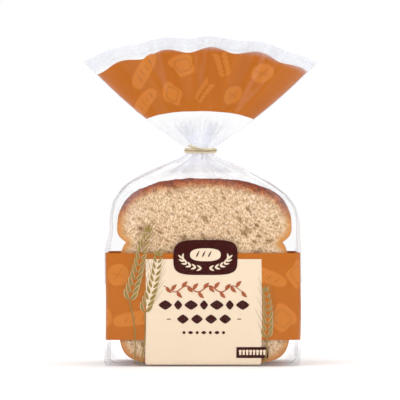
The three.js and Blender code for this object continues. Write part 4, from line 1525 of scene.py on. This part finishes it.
class BREADBAG_OT_stage(Operator):
    """Sets the white floor, the soft lamps, the sky and the camera"""

    bl_idname = "breadbag.stage"
    bl_label = "Stage"

    def execute(self, context):
        """A round floor under the bag, a large lamp from the upper left, weaker ones from the right
        and from behind, even light all round, and a level camera far away in front."""
        stage = context.scene.bread_bag_stage
        self.floor(stage)
        for name, place, size, times in LAMPS:
            self.lamp(name, place, size, stage.lamp_power * times)
        self.sky(context.scene, stage.sky)
        camera = bpy.data.cameras.new("Camera")
        camera.sensor_width = 36.0
        camera.lens = camera.sensor_width * stage.distance / stage.frame_width
        camera.clip_end = 20.0
        holder = bpy.data.objects.new("Camera", camera)
        front = -context.scene.bread_bag_film.depth / 2
        holder.location = (VIEW_MIDDLE_X * MM, front - stage.distance, VIEW_MIDDLE_Z * MM)
        holder.rotation_euler = (np.pi / 2, 0, 0)
        context.scene.collection.objects.link(holder)
        context.scene.camera = holder
        context.scene.view_settings.view_transform = "Standard"
        context.scene.cycles.transparent_max_bounces = 40
        context.scene.cycles.max_bounces = 12
        return {"FINISHED"}

    def floor(self, stage):
        """The floor: points (radius cos t, radius sin t) in rings round its middle. It glows more
        further out, so that it ends as white as the light behind it."""
        columns, rows, level = 96, 7, -FLOOR_GAP * MM
        turn = turns_round(columns)
        radius = np.linspace(0, 1, rows + 1)[1:, None] ** 2 * stage.floor_radius
        rings = np.stack([
            radius * np.cos(turn), radius * np.sin(turn), np.full((rows, columns), level)], axis=-1)
        points = np.concatenate([rings.reshape(-1, 3), [[0, 0, level]]])
        centre = np.full(columns, len(points) - 1)
        first = np.arange(columns)
        faces = [grid_quads(rows, columns, wrap_columns=True)[:, ::-1],
                 np.stack([centre, first, np.roll(first, -1)], axis=-1)]
        mesh = bpy.data.meshes.new("floor")
        mesh.from_pydata(points.tolist(), [], [row for face in faces for row in face.tolist()])
        material, tree, output = new_material("White floor")
        mask, _ = grain(tree, 60, 0.02, 0.0005)
        paint = tree.nodes.new("ShaderNodeBsdfPrincipled")
        white = mix_colours(tree, mask, (0.93, 0.93, 0.93), (0.96, 0.96, 0.96))
        tree.links.new(white, paint.inputs["Base Color"])
        paint.inputs["Roughness"].default_value = 0.7
        paint.inputs["Specular IOR Level"].default_value = 0.2
        place, length = tree.nodes.new("ShaderNodeTexCoord"), tree.nodes.new("ShaderNodeVectorMath")
        length.operation = "LENGTH"
        tree.links.new(place.outputs["Object"], length.inputs[0])
        far = math_node(tree, "MULTIPLY", length.outputs["Value"], 3.2, clamp=True)
        glow = math_node(tree, "ADD", math_node(tree, "MULTIPLY", far, 0.3), 0.05)
        paint.inputs["Emission Color"].default_value = (1, 1, 1, 1)
        tree.links.new(glow, paint.inputs["Emission Strength"])
        tree.links.new(paint.outputs[0], output.inputs["Surface"])
        mesh.materials.append(material)
        floor = bpy.data.objects.new("floor", mesh)
        bpy.context.scene.collection.objects.link(floor)

    def lamp(self, name, place, size, power):
        """One rectangular lamp that points at LAMP_AIM and isn't seen itself."""
        light = bpy.data.lights.new(name, "AREA")
        light.shape, (light.size, light.size_y), light.energy = "RECTANGLE", size, power
        holder = bpy.data.objects.new(name, light)
        holder.location = place
        aim = Vector(LAMP_AIM) - holder.location
        holder.rotation_euler = aim.to_track_quat("-Z", "Y").to_euler()
        holder.visible_camera = False
        bpy.context.scene.collection.objects.link(holder)

    def sky(self, scene, strength):
        """Even white light. Mirror rays see it greyer near the horizon, so that gloss has shape."""
        world = bpy.data.worlds.new("Studio")
        scene.world = world
        world.use_nodes = True
        tree = world.node_tree
        tree.nodes.clear()
        output = tree.nodes.new("ShaderNodeOutputWorld")
        place = tree.nodes.new("ShaderNodeTexCoord")
        split = tree.nodes.new("ShaderNodeSeparateXYZ")
        tree.links.new(place.outputs["Generated"], split.inputs[0])
        height = math_node(tree, "ABSOLUTE", split.outputs["Z"])
        mirrored = ramp_node(tree, height, [(0.0, (0.3, 0.3, 0.31)), (0.6, (0.85, 0.85, 0.87))])
        path = tree.nodes.new("ShaderNodeLightPath")
        even, seen, gloss = (tree.nodes.new("ShaderNodeBackground") for _ in range(3))
        even.inputs["Strength"].default_value = strength
        even.inputs["Color"].default_value = (1, 1, 1, 1)
        seen.inputs["Color"].default_value = (1, 1, 1, 1)
        tree.links.new(mirrored, gloss.inputs["Color"])
        light = mix_shaders(tree, path.outputs["Is Glossy Ray"], even.outputs[0], gloss.outputs[0])
        light = mix_shaders(tree, path.outputs["Is Camera Ray"], light, seen.outputs[0])
        tree.links.new(light, output.inputs["Surface"])


OPERATORS = (
    BREADBAG_OT_film, BREADBAG_OT_fields, BREADBAG_OT_panel, BREADBAG_OT_wheat, BREADBAG_OT_loaf,
    BREADBAG_OT_tie, BREADBAG_OT_stage)


class BREADBAG_PT_pieces(Panel):
    """Lists the pieces of the bag of bread and their settings"""

    bl_label = "Bread Bag"
    bl_idname = "BREADBAG_PT_pieces"
    bl_space_type = "VIEW_3D"
    bl_region_type = "UI"
    bl_category = "Bread Bag"

    def draw(self, context):
        """One button for each operator, then the settings of each group."""
        for operator in OPERATORS:
            self.layout.operator(operator.bl_idname)
        for label, group in GROUPS.items():
            box = self.layout.box()
            box.label(text=group.__doc__)
            for setting in group.__annotations__:
                box.prop(getattr(context.scene, label), setting)


def register():
    """Registers the settings, the operators and the panel."""
    for label, group in GROUPS.items():
        bpy.utils.register_class(group)
        setattr(bpy.types.Scene, label, PointerProperty(type=group))
    for operator in OPERATORS:
        bpy.utils.register_class(operator)
    bpy.utils.register_class(BREADBAG_PT_pieces)


def unregister():
    """Removes what register added, in the other order."""
    bpy.utils.unregister_class(BREADBAG_PT_pieces)
    for operator in reversed(OPERATORS):
        bpy.utils.unregister_class(operator)
    for label, group in reversed(GROUPS.items()):
        delattr(bpy.types.Scene, label)
        bpy.utils.unregister_class(group)


def main():
    register()
    bpy.ops.breadbag.film()
    bpy.ops.breadbag.fields()
    bpy.ops.breadbag.panel()
    bpy.ops.breadbag.wheat()
    bpy.ops.breadbag.loaf()
    bpy.ops.breadbag.tie()
    bpy.ops.breadbag.stage()


if __name__ == "__main__":
    main()
